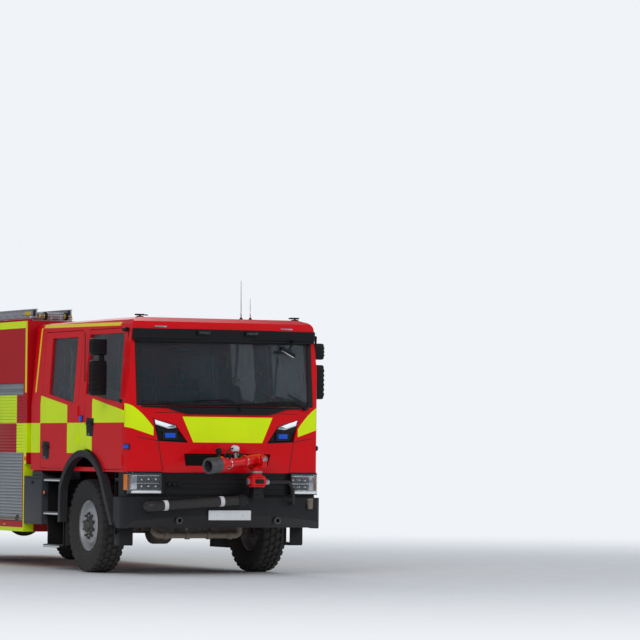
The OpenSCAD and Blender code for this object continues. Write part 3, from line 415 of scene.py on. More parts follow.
# %% Floor and sky: the floor fades into the sky, and gloss mirrors a dimmer sky
ground = finish("pale_floor", (0.8, 0.79, 0.77), 0.9, grain, 0.05)
tree = ground.node_tree
away = node(tree, "ShaderNodeVectorMath", Vector=object_place(tree))
away.operation = "LENGTH"
fade = node(tree, "ShaderNodeMapRange", Value=away.outputs["Value"], From_Min=6.0, From_Max=22.0)
fade.interpolation_type = "SMOOTHSTEP"
open_air = node(tree, "ShaderNodeBsdfTransparent").outputs[0]
surface = tree.nodes["Material Output"].inputs["Surface"]
tree.links.new(either(tree, fade.outputs[0], surface.links[0].from_socket, open_air), surface)
floor.data.materials.append(ground)
sky = world.node_tree
sky.nodes.clear()
rays = node(sky, "ShaderNodeLightPath").outputs
seen, light, mirrored_sky = (
    node(sky, "ShaderNodeBackground", Color=colour, Strength=strength).outputs[0]
    for colour, strength in (((0.87, 0.9, 0.94, 1), 1.0), ((0.80, 0.88, 1.0, 1), 0.6),
                             ((0.80, 0.88, 1.0, 1), 0.22)))
sight = Field(sky, rays["Is Camera Ray"]).also(Field(sky, rays["Is Transmission Ray"]))
shine = either(sky, rays["Is Glossy Ray"], either(sky, sight.socket, light, seen), mirrored_sky)
sky.links.new(shine, node(sky, "ShaderNodeOutputWorld").inputs[0])

# %% [markdown]
# ## Finishes on the CAD pieces
# A CAD piece whose shape is right is kept. It only gets its material slot filled.
# %% Fill the CAD pieces' slots
SIDES = ("left", "right")
cad_finish = {
    chassis_steel: ["chassis_frame", "front_axle", "rear_axle", "front_springs", "rear_springs",
                    "front_differential", "knuckle_{}", "tie_rod"],
    cast_iron: ["power_train"],
    bumper_steel: ["front_bumper", "rear_bumper"],
    pipe_paint: ["water_pipe"],
    black: ["grille", "cab_trim", "roof_fittings", "mirror_{}", "entry_steps"],
    arch_plastic: ["wheel_arches"],
    cab_paint: ["cab_shell", "front_panel", "door_front_{}", "door_rear_{}"],
    glass: ["windscreen", "glass_front_{}", "glass_rear_{}"],
    lens_clear: ["head_lamps"],
    dash_plastic: ["dashboard", "seats"],
    box_paint: ["side_boxes"],
    body_paint: ["body_shell"],
    alloy: ["roller_shutters"],
    rail_alloy: ["ladder", "ladder_gantry"],
    red_paint: ["monitor_base", "monitor_swivel", "monitor_barrel"],
    hose_rubber: ["bumper_hose", "drain_pipe"],
    rubber: ["front_tyre_{}", "rear_tyres_{}"],
    rim_paint: ["front_rim_{}", "rear_rims_{}"],
}
finished = 0
for material, names in cad_finish.items():
    for name in dict.fromkeys(n.format(side) for n in names for side in SIDES):
        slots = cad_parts[name].data.materials
        slots.clear()
        slots.append(material)
        finished += 1
print("finished CAD pieces", finished, "of", len(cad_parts))
# %% [markdown]
# ## Ways of making a piece
# Almost everything on a truck is a bent plate, a turned part, a bar or a box with eased edges.
# Five helpers make those from a primitive in edit mode, and a sixth joins the parts of one piece,
# puts its place in its mesh and lets it ride on its body.
# %% A box, a bar and a swept strand
SMOOTH_DEG = 35


def edit():
    bpy.ops.object.mode_set(mode="EDIT")
    bpy.ops.mesh.select_mode(type="VERT")
    bpy.ops.mesh.select_all(action="SELECT")


def leave(material):
    bpy.ops.object.mode_set(mode="OBJECT")
    part = bpy.context.object
    part.data.materials.clear()
    part.data.materials.append(material)
    return part


def ease_edges(width, steps=2, sharper_than=35):
    """Rounds the edges that are sharper than an angle."""
    if width:
        bpy.ops.mesh.select_all(action="DESELECT")
        bpy.ops.mesh.select_mode(type="EDGE")
        bpy.ops.mesh.edges_select_sharp(sharpness=math.radians(sharper_than))
        bpy.ops.mesh.bevel(offset=width, segments=steps, clamp_overlap=True)


def block(low, high, material, ease=0.004, steps=2):
    deselect()
    low, high = at(*low), at(*high)
    bpy.ops.mesh.primitive_cube_add(size=1, location=(low + high) / 2, scale=high - low)
    bpy.ops.object.transform_apply(location=True, rotation=True, scale=True)
    edit()
    ease_edges(ease, steps)
    return leave(material)


def bar(start, end, radius, material, sides=20, ease=0.002, end_radius=None):
    deselect()
    start, end = at(*start), at(*end)
    way = end - start
    bpy.ops.mesh.primitive_cone_add(
        vertices=sides, radius1=radius, radius2=radius if end_radius is None else end_radius,
        depth=way.length, location=(start + end) / 2,
        rotation=way.to_track_quat("Z", "Y").to_euler())
    bpy.ops.object.transform_apply(location=True, rotation=True, scale=True)
    edit()
    ease_edges(ease, 2, 50)
    return leave(material)


def softened(points, reach, steps=5):
    """The same way with each corner replaced by a short curve."""
    points = [Vector(p) for p in points]
    way = [points[0]]
    for before, corner, after in zip(points, points[1:], points[2:]):
        a = corner + (before - corner).normalized() * min(reach, (before - corner).length * 0.45)
        b = corner + (after - corner).normalized() * min(reach, (after - corner).length * 0.45)
        for i in range(steps + 1):
            t = i / steps
            way.append(a.lerp(corner, t).lerp(corner.lerp(b, t), t))
    return way + [points[-1]]


def strand(points, radius, material, reach=0.05, sides=12):
    """A round strand: one point is extruded along the way, then given its thickness."""
    way = softened([at(*p) for p in points], reach)
    deselect()
    bpy.ops.mesh.primitive_plane_add(size=0.01, location=way[0])
    edit()
    bpy.ops.mesh.merge(type="CENTER")
    for here, there in zip(way, way[1:]):
        bpy.ops.mesh.extrude_vertices_move(TRANSFORM_OT_translate={"value": there - here})
    bpy.ops.object.mode_set(mode="OBJECT")
    bpy.ops.object.convert(target="CURVE")
    curve = bpy.context.object.data
    curve.bevel_depth, curve.bevel_resolution = radius, max(sides // 4 - 1, 0)
    curve.use_fill_caps = True
    bpy.ops.object.convert(target="MESH")
    edit()
    bpy.ops.mesh.normals_make_consistent(inside=False)
    return leave(material)


# %% A cut plate, a turned part and the joining
def plate(outline, plane, start, end, material, ease=0.003, steps=2):
    """A flat outline extruded along x, y or z. Points are the two other coordinates."""
    deselect()
    bpy.ops.mesh.primitive_circle_add(vertices=len(outline), fill_type="NGON")
    for vertex, (a, b) in zip(bpy.context.object.data.vertices, outline):
        vertex.co = at(*{"x": (start, a, b), "y": (a, start, b), "z": (a, b, start)}[plane])
    edit()
    push = Vector([(end - start) * (axis == plane) for axis in "xyz"])
    bpy.ops.mesh.extrude_region_move(TRANSFORM_OT_translate={"value": push})
    bpy.ops.mesh.select_all(action="SELECT")
    bpy.ops.mesh.normals_make_consistent(inside=False)
    ease_edges(ease, steps)
    return leave(material)


def turned(profile, x, y, z, material, steps=48, axis=(1, 0, 0)):
    """A closed outline of (radius, place along the axis) spun round an axis through (x, y, z)."""
    deselect()
    centre, axis = at(x, y, z), Vector(axis).normalized()
    side = axis.orthogonal().normalized()
    bpy.ops.mesh.primitive_circle_add(vertices=len(profile), fill_type="NOTHING")
    for vertex, (radius, along) in zip(bpy.context.object.data.vertices, profile):
        vertex.co = centre + side * radius + axis * along
    edit()
    bpy.ops.mesh.spin(steps=steps, angle=math.tau, center=centre, axis=axis)
    bpy.ops.mesh.select_all(action="SELECT")
    bpy.ops.mesh.remove_doubles(threshold=0.0002)
    bpy.ops.mesh.dissolve_degenerate()
    bpy.ops.mesh.normals_make_consistent(inside=False)
    return leave(material)


def copied(part, move=(0, 0, 0), turn=0.0, about=(0, 0, 0), axis="X", flip=None):
    """A copy with its own mesh, turned about a place, flipped across an axis, then moved.

    Only the mesh changes, so a flipped strand, whose object stands at its first point, lands
    on the wrong side.
    on the wrong side. report.md lists the pieces that this leaves short of a strand.
    """
    twin = part.copy()
    twin.data = part.data.copy()
    bpy.context.collection.objects.link(twin)
    pivot = Matrix.Translation(at(*about))
    change = pivot @ Matrix.Rotation(turn, 4, axis) @ pivot.inverted()
    if flip:
        change = Matrix.Scale(-1, 4, flip) @ change
    twin.data.transform(Matrix.Translation(Vector(move)) @ change)
    if flip:
        twin.data.flip_normals()
    return twin


def mirrored(parts):
    """The same parts for the truck's other side."""
    return [copied(part, flip=(1, 0, 0)) for part in parts]


def discard(parts):
    for part in parts:
        bpy.data.objects.remove(part)


def swung(part, turn, about, axis="Z"):
    """The same part turned about a place."""
    twin = copied(part, turn=turn, about=about, axis=axis)
    discard([part])
    return twin


def pick(parts):
    deselect()
    for part in parts:
        part.select_set(True)
    bpy.context.view_layer.objects.active = parts[0]


def piece(name, parts, body="truck", replaces=()):
    pick(parts)
    if len(parts) > 1:
        bpy.ops.object.join()
    whole = bpy.context.object
    whole.name = name
    bpy.ops.object.transform_apply(location=True, rotation=True, scale=True)
    bpy.ops.object.shade_smooth_by_angle(angle=math.radians(SMOOTH_DEG))
    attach(whole, body)
    if replaces:
        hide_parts(*replaces)
    print(name, len(whole.data.polygons), "faces")
    return whole


def both(name, parts, body="truck", replaces=()):
    """A piece and its mirrored twin. {} stands for the side; a name without it is the left's."""
    for side, made in zip(SIDES, (parts, mirrored(parts))):
        piece(name.format(side), made, body.format(side),
              [r.format(side) for r in replaces if side == SIDES[0] or "{}" in r])


# %% [markdown]
# ## Tyres
# The tyres have a deep block tread with open shoulders and a moulded ring on the side wall. The
# carcass is a turned section. One run of the tread is four eased blocks, which is then copied
# round the tyre. The twin rear tyres use the same tyre again.
# %% One tyre, then its copies
TYRE_R, RIM_R = 0.55, 0.298
LUG_RUNS = 34
base_r = TYRE_R - 0.021
half_wall = [(RIM_R + 0.001, 0.102), (RIM_R + 0.016, 0.116), (RIM_R + 0.03, 0.118),
             (RIM_R + 0.045, 0.129), (RIM_R + 0.085, 0.147), (RIM_R + 0.1, 0.152),
             (RIM_R + 0.104, 0.154), (RIM_R + 0.115, 0.1545), (RIM_R + 0.12, 0.153),
             (RIM_R + 0.16, 0.1535), (base_r - 0.035, 0.148), (base_r - 0.008, 0.139),
             (base_r, 0.126)]
section = half_wall + [(base_r + 0.001, 0.05), (base_r + 0.001, -0.05)]
section += [(r, -w) for r, w in reversed(half_wall)]
tyre = [turned(section, 0, 0, 0, rubber, steps=72)]
for side in (1, -1):
    shoulder = plate([(0.078, -0.036), (0.147, -0.028), (0.147, 0.026), (0.1, 0.036),
                      (0.078, 0.03)], "z", base_r - 0.03, TYRE_R - 0.0012, rubber, ease=0.0035)
    centre = plate([(0.006, -0.03), (0.044, -0.038), (0.068, -0.018), (0.064, 0.028),
                    (0.03, 0.036), (0.006, 0.02)], "z", base_r - 0.012, TYRE_R - 0.0008, rubber,
                   ease=0.003)
    for part, shift in ((shoulder, 0.0), (centre, 0.5)):
        for v in part.data.vertices:  # the tread block follows the tyre's round shoulder
            v.co.z -= max(0.0, v.co.x - 0.11) * 0.32
            v.co.x *= side
        if side < 0:
            part.data.flip_normals()
            shift += 0.5
        tyre += [copied(part, turn=(i + shift) * math.tau / LUG_RUNS) for i in range(LUG_RUNS)]
        discard([part])
pick(tyre)
bpy.ops.object.join()
tyre = tyre[0]
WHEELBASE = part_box("rear_tyres_left")[0].y + TYRE_R - AXLE_Y
FRONT_X = 1.035
REAR_X = (0.915 + 0.1725, 0.915 - 0.1725)
for side, sign in zip(SIDES, (1, -1)):
    piece(f"tread_front_{side}", [copied(tyre, move=(sign * FRONT_X, 0, AXLE_Z))],
          f"front_wheel_{side}", replaces=[f"front_tyre_{side}"])
    piece(f"tread_rear_{side}", [copied(tyre, move=(sign * x, WHEELBASE, AXLE_Z)) for x in REAR_X],
          f"rear_wheels_{side}", replaces=[f"rear_tyres_{side}"])
discard([tyre])

# %% [markdown]
# ## Wheels
# A steel truck wheel: a deep well with a rolled outer lip, a dished disc, ten nuts on their
# circle, and a dark drive hub that stands out past them.
# %% Rims with hubs and nuts
NUTS, NUT_CIRCLE_R, BOLT_CIRCLE_R = 10, 0.142, 0.086


def wheel(edge, disc, hub, y):
    """Front or outer rear wheel on the +X side. Its disc and hub are read from its outer edge."""
    lip = [(0.2975, 0), (0.2975, -0.012), (0.286, -0.014), (0.278, -0.03), (0.272, -0.06),
           (0.262, -0.075), (0.25, -0.078), (0.205, disc + 0.012), (0.175, disc + 0.018),
           (0.1, disc + 0.018), (0.1, disc), (0.2, disc - 0.006), (0.268, -0.1),
           (0.2815, -0.2), (0.2975, -0.205), (0.2975, -0.16), (0.288, -0.155),
           (0.288, -0.05), (0.2975, -0.03)]
    boss = [(0.001, hub), (0.062, hub), (0.07, hub - 0.008), (0.074, hub - 0.03),
            (0.098, hub - 0.034), (0.108, hub - 0.044), (0.112, disc + 0.01),
            (0.001, disc + 0.01)]
    parts = [turned(lip, edge, y, AXLE_Z, rim_paint, steps=64),
             turned(boss, edge, y, AXLE_Z, steel, steps=40)]

    def stud(radius, start, end, *form):
        return bar((edge + start, y, AXLE_Z + radius), (edge + end, y, AXLE_Z + radius), *form)

    nut = stud(NUT_CIRCLE_R, disc + 0.012, disc + 0.05, 0.0165, steel, 6, 0.003, 0.014)
    washer = stud(NUT_CIRCLE_R, disc + 0.012, disc + 0.024, 0.022, steel, 16)
    bolt = stud(BOLT_CIRCLE_R, hub - 0.036, hub - 0.026, 0.007, chrome, 6, 0.001)
    for i in range(NUTS):
        parts += [copied(p, turn=(i + shift) * math.tau / NUTS, about=(edge, y, AXLE_Z))
                  for p, shift in ((nut, 0), (washer, 0), (bolt, 0.5))]
    discard([nut, washer, bolt])
    return parts


edge = FRONT_X + 0.112
both("wheel_front_{}", wheel(edge, -0.037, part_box("front_rim_left")[1].x - 0.001 - edge, 0),
     "front_wheel_{}", ["front_rim_{}"])
edge = REAR_X[0] + 0.112
outer_wheel = wheel(edge, -0.207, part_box("rear_rims_left")[1].x - 0.002 - edge, WHEELBASE)
inner_rim = [(0.2975, 0.205), (0.2815, 0.2), (0.262, 0.1), (0.2, 0.118), (0.1, 0.118),
             (0.1, 0.1), (0.2, 0.1), (0.27, 0.07), (0.282, 0.02), (0.2975, 0.012), (0.2975, 0)]
inner_wheel = [turned(inner_rim, REAR_X[1] - 0.112, WHEELBASE, AXLE_Z, rim_paint, steps=64),
               turned([(0.056, 0), (0.098, 0), (0.098, 0.24), (0.056, 0.24)], REAR_X[1] - 0.11,
                      WHEELBASE, AXLE_Z, steel, steps=32)]
both("wheel_rear_{}", outer_wheel + inner_wheel, "rear_wheels_{}",
     ["rear_rims_{}"])

# %% [markdown]
# ## Following the cab's skin
# The cab's face leans and bows and its sides lean in above the belt. Trim that lies on it is made
# flat and near the origin's plane, cut into strips, and then laid on the skin.
# %% The skin as two functions
FRONT_Y, BOW_R, FACE_Z = -1.46, 6.8, 1.56
CORNER_X, CORNER_Y, CORNER_R = 0.96, -1.2, 0.26
LEAN = [(1.19, 0.05), (1.56, 0.0), (1.94, 0.022), (1.97, 0.09), (2.74, 0.17), (2.85, 0.15),
        (2.935, 0.18), (2.985, 0.32)]


def sag(radius, reach):
    """How far an arc falls back at a reach from its crown."""
    return radius - math.sqrt(radius * radius - reach * reach)


def skin_y(x, z, grow=0.0):
    """The front skin's place along the truck."""
    z = min(max(z, LEAN[0][0]), LEAN[-1][0])
    lean = next(a + (b - a) * (z - za) / (zb - za) for (za, a), (zb, b) in zip(LEAN, LEAN[1:])
                if z <= zb)
    over = min(max(abs(x) - CORNER_X, 0.0), CORNER_R - 0.001)
    return FRONT_Y + max(lean, sag(BOW_R, x), sag(CORNER_R, over)) - grow


def side_x(z):
    """The side skin's place across the truck."""
    return 1.22 - 0.07 * max(z - 1.98, 0.0) / 0.92


def laid_on_front(part, pitch=0.08):
    """Cuts a flat part into strips and lays it on the front skin; its own y is how proud it is."""
    xs = [v.co.x for v in part.data.vertices]
    pick([part])
    edit()
    x = min(xs) + pitch
    while x < max(xs) - 0.01:
        bpy.ops.mesh.select_all(action="SELECT")
        bpy.ops.mesh.bisect(plane_co=(x, 0, 0), plane_no=(1, 0, 0))
        x += pitch
    bpy.ops.object.mode_set(mode="OBJECT")
    for v in part.data.vertices:
        v.co.y += skin_y(v.co.x, v.co.z)
    return part


def band(x0, x1, z0, z1, proud, sunk, material, ease=0.002):
    """A band that follows the front and corner in plan between two heights."""
    def curve(grow):
        points, x, radius = [], x0, CORNER_R + grow
        while x < min(x1, 0.95):
            points.append((x, skin_y(x, FACE_Z, grow)))
            x += 0.05
        if x1 <= 0.95:
            return points + [(x1, skin_y(x1, FACE_Z, grow))]
        start, end = (math.acos(min(max(x - CORNER_X, 0.0) / radius, 1.0)) for x in (x0, x1))
        for i in range(9):
            a = start + (end - start) * i / 8
            px, py = CORNER_X + radius * math.cos(a), CORNER_Y - radius * math.sin(a)
            points.append((px, max(py, FRONT_Y - grow + px * px / (2 * BOW_R))))
        return points
    outline = curve(proud) + list(reversed(curve(-sunk)))
    return plate(outline, "z", z0, z1, material, ease)


# %% [markdown]
# ## Head lamps
# Each lamp is a clear cover over a black tray with bright cells, a bright running strip along the
# bottom and an amber marker at the outer end. The tray and the cover follow the cab's corner.
# %% Tray, cells, strip, marker and cover
lamp = [band(*row) for row in (
    (0.80, 1.19, 0.942, 1.184, -0.03, 0.085, black),
    (0.80, 1.2, 1.172, 1.186, 0.014, 0.03, black),
    (0.80, 1.2, 0.940, 0.950, 0.014, 0.03, black),
    (0.82, 1.16, 0.952, 0.978, 0.006, 0.02, lamp_white),
    (0.83, 1.14, 0.982, 0.990, 0.002, 0.025, chrome),
    (0.84, 1.15, 1.148, 1.158, -0.004, 0.03, chrome),
    (1.2, 1.2095, 0.985, 1.168, 0.006, 0.02, lens_amber),
    (1.09, 1.185, 0.992, 1.165, -0.03, 0.05, chrome),
    (0.805, 1.2, 1.184, 1.2, 0.008, 0.03, seal),
    (0.84, 1.15, 1.062, 1.07, -0.006, 0.03, chrome),
    (0.805, 1.205, 0.945, 1.181, 0.0145, -0.0105, lens_clear))]
lamp.append(block((0.80, -1.462, 0.942), (0.815, -1.36, 1.184), black))
for x, z in ((0.87, 1.11), (0.955, 1.11), (1.035, 1.105), (0.87, 1.03), (0.955, 1.03),
             (1.035, 1.03)):
    y = skin_y(x, FACE_Z) + 0.03
    lamp += [turned([(0.034, 0.0), (0.036, -0.004), (0.03, 0.02), (0.012, 0.034), (0.001, 0.036),
                     (0.001, 0.044), (0.02, 0.044), (0.037, 0.022)], x, y, z, chrome, 20,
                    (-0.15 * (x > 1), 1, 0)),
             turned([(0.001, -0.004), (0.009, 0.0), (0.013, 0.01), (0.012, 0.03),
                     (0.001, 0.032)], x, y, z, lamp_white, 12, (0, 1, 0))]
both("head_lamp_{}", lamp, replaces=["head_lamps"])


# %% [markdown]
# ## Upper lamp pods and the slot grille
# The red front panel has a cut at each side of the yellow panel. A black tray lies in it with a
# bright wedge lamp above and a blue lamp below. The slot under the yellow panel holds dark slats.
# %% Pods with wedge lamps and blue lamps
def on_face(low, high, material, ease, *rows):
    """Flat outlines laid on the front skin between two depths."""
    return [laid_on_front(plate(row, "y", low, high, material, ease)) for row in rows]


pod = on_face(0.03, 0.05, black, 0.002,
              [(0.922, 1.812), (0.652, 1.737), (0.578, 1.638), (0.505, 1.537), (0.857, 1.553)])
pod += on_face(0.002, 0.03, chrome, 0.003,
               [(0.912, 1.806), (0.66, 1.735), (0.64, 1.706), (0.74, 1.694), (0.892, 1.742)])
pod += on_face(-0.004, 0.004, lamp_white, 0.002,
               [(0.90, 1.797), (0.69, 1.735), (0.76, 1.715), (0.89, 1.752)])
pod += on_face(0.008, 0.03, black, 0.004,
               [(0.908, 1.738), (0.75, 1.686), (0.63, 1.696), (0.60, 1.66), (0.86, 1.66)])
pod += [laid_on_front(block((0.625, 0.012, 1.566), (0.80, 0.03, 1.668), seal, 0.006)),
        laid_on_front(block((0.652, -0.006, 1.59), (0.775, 0.02, 1.645), lens_blue, 0.01, 3))]
for i in range(4):
    x = 0.662 + i * 0.028
    pod.append(laid_on_front(block((x, -0.0085, 1.598), (x + 0.02, 0.0, 1.637), lens_blue)))
pod += on_face(-0.0012, 0.004, seal, 0.0,
               [(0.853, 1.556), (0.862, 1.556), (0.806, 1.212), (0.797, 1.212)],
               [(0.508, 1.534), (0.858, 1.55), (0.858, 1.557), (0.508, 1.541)],
               [(0.862, 1.556), (0.862, 1.548), (1.0, 1.575), (1.19, 1.6), (1.19, 1.607),
                (1.0, 1.583)],
               [(0.0, 1.895), (0.0, 1.888), (0.9, 1.876), (0.905, 1.883)])
slot = [laid_on_front(block((-0.545, 0.032, 1.273), (0.545, 0.05, 1.408), seal))]
for i in range(6):
    z = 1.283 + i * 0.0205
    half = 0.522 + (z - 1.27) * 0.2
    slot.append(laid_on_front(block((-half, 0.008, z), (half, 0.034, z + 0.009), black,
                                    0.003)))
both("lamp_pod_{}", pod)
piece("slot_grille", slot)

# %% [markdown]
# ## Windscreen edge and wipers
# The glass has a black fired border, so the pillars read as black beside it. Two long wipers
# park along the bottom.
# %% Border, wipers
upright = [(1.117, 1.972), (1.045, 1.972), (1.062, 2.05), (1.07, 2.68), (1.117, 2.738)]
piece("screen_border", on_face(
    -0.002, 0.009, seal, 0.001, [(-x, z) for x, z in upright], upright,
    [(-1.05, 1.972), (1.05, 1.972), (1.03, 2.005), (0.8, 1.997), (-0.8, 1.997), (-1.03, 2.005)],
    [(-1.075, 2.738), (1.075, 2.738), (1.06, 2.69), (-1.06, 2.69)]))


def on_front(x, z, proud):
    return (x, skin_y(x, z, proud), z)


wipers = []
for (xa, za), (xb, zb), pivot in (((-0.829, 1.995), (0.03, 2.035), (0.16, 1.93)),
                                  ((0.077, 1.99), (0.938, 2.018), (1.0, 1.94))):
    wipers.append(strand([on_front(xa + (xb - xa) * t, za + (zb - za) * t, 0.02)
                          for t in (0, 0.25, 0.5, 0.75, 1)], 0.006, seal, sides=8))
    wipers.append(strand([on_front(pivot[0], pivot[1], 0.03), on_front(xb, zb + 0.006, 0.042),
                          on_front((xa + xb) / 2, (za + zb) / 2 + 0.01, 0.038)], 0.009,
                         black, sides=8))
    wipers.append(bar(on_front(pivot[0], pivot[1], 0.0), on_front(pivot[0], pivot[1], 0.04), 0.02,
                      black, 16, 0.004))
piece("wipers", wipers)

# %% [markdown]
# ## Visor lamps, roof fittings and the kerb mirror
# Two flat lamp units sit on the visor, small grey markers sit in the seam above it, and a close
# view mirror hangs over the kerb-side glass. The roof carries two aerials and two low strobes.
# %% Lamps on the visor
VISOR_Y = skin_y(0.0, 2.84) - 0.046
visor = [laid_on_front(block((-1.152, -0.046, 2.724), (1.152, 0.03, 2.848), black, 0.012,
                             3)),
         laid_on_front(block((-1.14, -0.058, 2.706), (1.14, -0.01, 2.727), black, 0.006))]
for x in (-0.278, 0.329):
    visor += [block((x - 0.085, VISOR_Y - 0.022, 2.782), (x + 0.085, VISOR_Y + 0.02, 2.838),
                    black, 0.006),
              block((x - 0.072, VISOR_Y - 0.028, 2.794), (x + 0.072, VISOR_Y - 0.015, 2.827),
                    seal, 0.004)]
    visor += [block((x - 0.066 + i * 0.0225, VISOR_Y - 0.032, 2.799),
                    (x - 0.048 + i * 0.0225, VISOR_Y - 0.024, 2.822), lens_clear, 0.003)
              for i in range(6)]
for x in (-0.8, 0.8):
    visor.append(laid_on_front(block((x - 0.075, -0.008, 2.866), (x + 0.075, 0.02, 2.884),
                                     alloy, 0.004)))
hub = (0.77, -1.4, 2.605)
kerb = [block((hub[0] - 0.105, -1.45, 2.58), (hub[0] + 0.105, -1.35, 2.632), black, 0.024,
              4),
        block((hub[0] - 0.09, -1.44, 2.574), (hub[0] + 0.09, -1.365, 2.582), chrome, 0.003)]
visor += [swung(p, math.radians(28), hub, "Y") for p in kerb]
visor.append(strand([(0.86, -1.33, 2.74), (0.85, -1.4, 2.715), (0.79, -1.4, 2.64)], 0.013,
                    black, 0.03))
piece("visor_lamps", visor)
# %% Aerials and strobes
roof = []
for x, y, tip, thick in ((0.575, -0.5, 3.47, 0.005), (0.695, -0.5, 3.26, 0.004)):
    roof += [turned([(0.001, 0.0), (0.028, 0.0), (0.027, 0.018), (0.016, 0.034), (0.012, 0.045),
                     (0.001, 0.045)], x, y, 2.9855, black, 24, (0, 0, 1)),
             bar((x, y, 3.02), (x, y + 0.01, tip), thick, seal, 8, 0.0, thick * 0.5),
             bar((x, y + 0.0005, 3.03), (x, y + 0.003, 3.1), thick * 1.5, chrome, 10, 0.001)]
for x, reach in ((-0.95, 0.1), (1.03, -0.08)):
    roof += [block((x - 0.035, -1.065, 2.9852), (x + 0.035, -1.005, 3.0), black, 0.004),
             bar((x, -1.035, 2.99), (x, -1.035, 3.02), 0.012, black, 12, 0.001),
             block((x - 0.06, -1.055, 3.006), (x + 0.05, -1.015, 3.024), black, 0.005),
             bar((x + reach * 0.4, -1.035, 3.012), (x + reach, -1.035, 3.012), 0.007, seal,
                 10, 0.001)]
piece("aerials_and_strobes", roof, replaces=["roof_fittings"])

# %% [markdown]
# ## Mirrors
# Each front door carries two mirror heads on a bent tube: a tall main head and a wide-angle head
# above it. The shells are moulded with rounded ribs that face forward, and the glass looks back.
# %% Ribbed shells, glass and arms
heads = []
for low, high, ribs in ((2.075, 2.47, 6), (2.545, 2.725, 3)):
    heads += [block((1.292, -0.897, low - 0.006), (1.4895, -0.793, high + 0.006), black,
                    0.026, 4),
              block((1.312, -0.8, low + 0.018), (1.474, -0.7905, high - 0.018), chrome, 0.006),
              block((1.304, -0.81, low + 0.01), (1.482, -0.794, high - 0.01), seal, 0.008)]
    step = (high - low - 0.06) / ribs
    for i in range(ribs):
        z = low + 0.034 + i * step
        heads.append(block((1.33, -0.9, z), (1.4895, -0.82, z + step * 0.72), black,
                           0.009, 3))
heads += [block((1.317, -0.868, 2.45), (1.377, -0.818, 2.565), black, 0.012, 3),
          strand([(1.13, -1.14, 2.838), (1.24, -1.08, 2.835), (1.355, -0.845, 2.7)], 0.019,
                 black, 0.06, 16),
          strand([(1.2, -1.14, 2.008), (1.262, -1.08, 2.01), (1.355, -0.845, 2.11)], 0.019,
                 black, 0.06, 16),
          block((1.125, -1.19, 2.812), (1.2, -1.09, 2.858), black, 0.018, 3),
          block((1.196, -1.17, 1.985), (1.238, -1.105, 2.03), black, 0.014, 3)]
both("mirror_heads_{}", heads, "front_door_{}", replaces=["mirror_{}"])


# %% [markdown]
# ## Door trim
# A rubber runs round each window, a flat near-black plate, painted shade for a sloping recess,
# holds the pull handle, and a pressed line runs along each door under its window.
# %% Window rubbers, handles and creases
def on_side(y, z, proud=0.0):
    return (side_x(z) + proud, y, z)


def window_rubber(outline):
    way = list(outline) + [outline[0], outline[1]]
    dense = []
    for (ya, za), (yb, zb) in zip(way, way[1:]):
        dense += [on_side(ya + (yb - ya) * t, za + (zb - za) * t, 0.004) for t in (0, 0.5)]
    return strand(dense[:-1], 0.015, seal, 0.02, 8)


def handle(y, z):
    return [plate([(y - 0.12, z + 0.1), (y + 0.09, z + 0.112), (y + 0.12, z + 0.08),
                   (y + 0.105, z - 0.1), (y - 0.07, z - 0.112), (y - 0.1, z - 0.09)], "x", 1.2185,
                  1.2225, arch_plastic, 0.001),
            # the recess: a flat plate, near-black as painted shade for its depth
            plate([(y - 0.1, z + 0.075), (y + 0.085, z + 0.09), (y + 0.095, z - 0.07),
                   (y - 0.065, z - 0.085)], "x", 1.222, 1.2245, seal, 0.001),
            block((1.224, y - 0.1, z + 0.022), (1.246, y + 0.085, z + 0.052), black,
                  0.009, 3),
            block((1.22, y - 0.07, z + 0.032), (1.235, y - 0.045, z + 0.052), black),
            block((1.22, y + 0.03, z + 0.032), (1.235, y + 0.05, z + 0.052), black),
            bar((1.221, y + 0.03, z - 0.08), (1.2275, y + 0.03, z - 0.08), 0.012, chrome, 16,
                0.001)]


front_trim = [window_rubber([(-1.116, 1.99), (-0.035, 2.105), (-0.035, 2.8), (-1.085, 2.8)]),
              strand([on_side(-1.19, 1.905, -0.003), on_side(-0.03, 2.077, -0.004)], 0.005,
                     cab_paint, 0.02, 8),
              strand([on_side(-1.19, 1.69, -0.002), on_side(-0.03, 1.69, -0.002)], 0.004,
                     cab_paint, 0.02, 8)] + handle(-0.2, 1.71)
rear_trim = [window_rubber([(0.335, 1.995), (1.15, 2.11), (1.17, 2.78), (0.345, 2.78)]),
             strand([on_side(0.2, 1.935, -0.002), on_side(1.37, 2.09, -0.004)], 0.005, cab_paint,
                    0.02, 8)] + handle(1.21, 1.435)
both("front_door_trim_{}", front_trim, "front_door_{}")
both("rear_door_trim_{}", rear_trim, "rear_door_{}")
# %% Blue lamps on the corner and pillar, door frame seals and the roof seam
cab_side = [block((1.214, 0.025, 1.772), (1.229, 0.115, 1.848), seal, 0.008, 3),
            block((1.224, 0.034, 1.781), (1.24, 0.106, 1.839), lens_blue, 0.01, 3),
            block((1.2, 0.018, 2.25), (1.207, 0.03, 2.83), seal, 0.002)]
corner_lamp = [block((1.198, -1.345, 1.455), (1.215, -1.245, 1.515), seal, 0.006, 3),
               block((1.208, -1.337, 1.463), (1.224, -1.253, 1.507), lens_blue, 0.008, 3)]
cab_side += [swung(p, math.radians(-21), (1.206, -1.295, 1.485)) for p in corner_lamp]
cab_side.append(strand([(1.155, -0.95, 2.893), (1.153, 0.3, 2.905), (1.152, 1.53, 2.905)], 0.006,
                       cab_paint, 0.02, 8))
cab_side.append(block((1.02, -1.34, 1.535), (1.1, -1.325, 1.552), seal, 0.003))
both("cab_side_fittings_{}", cab_side)

# %% [markdown]
# ## Roller shutters
# A shutter is a curtain of narrow hollow slats in two side guides, with a lift bar at its foot.
# One slat is made and an Array modifier repeats it up the opening.
# %% A curtain in its frame
SLAT_PITCH = 0.0385


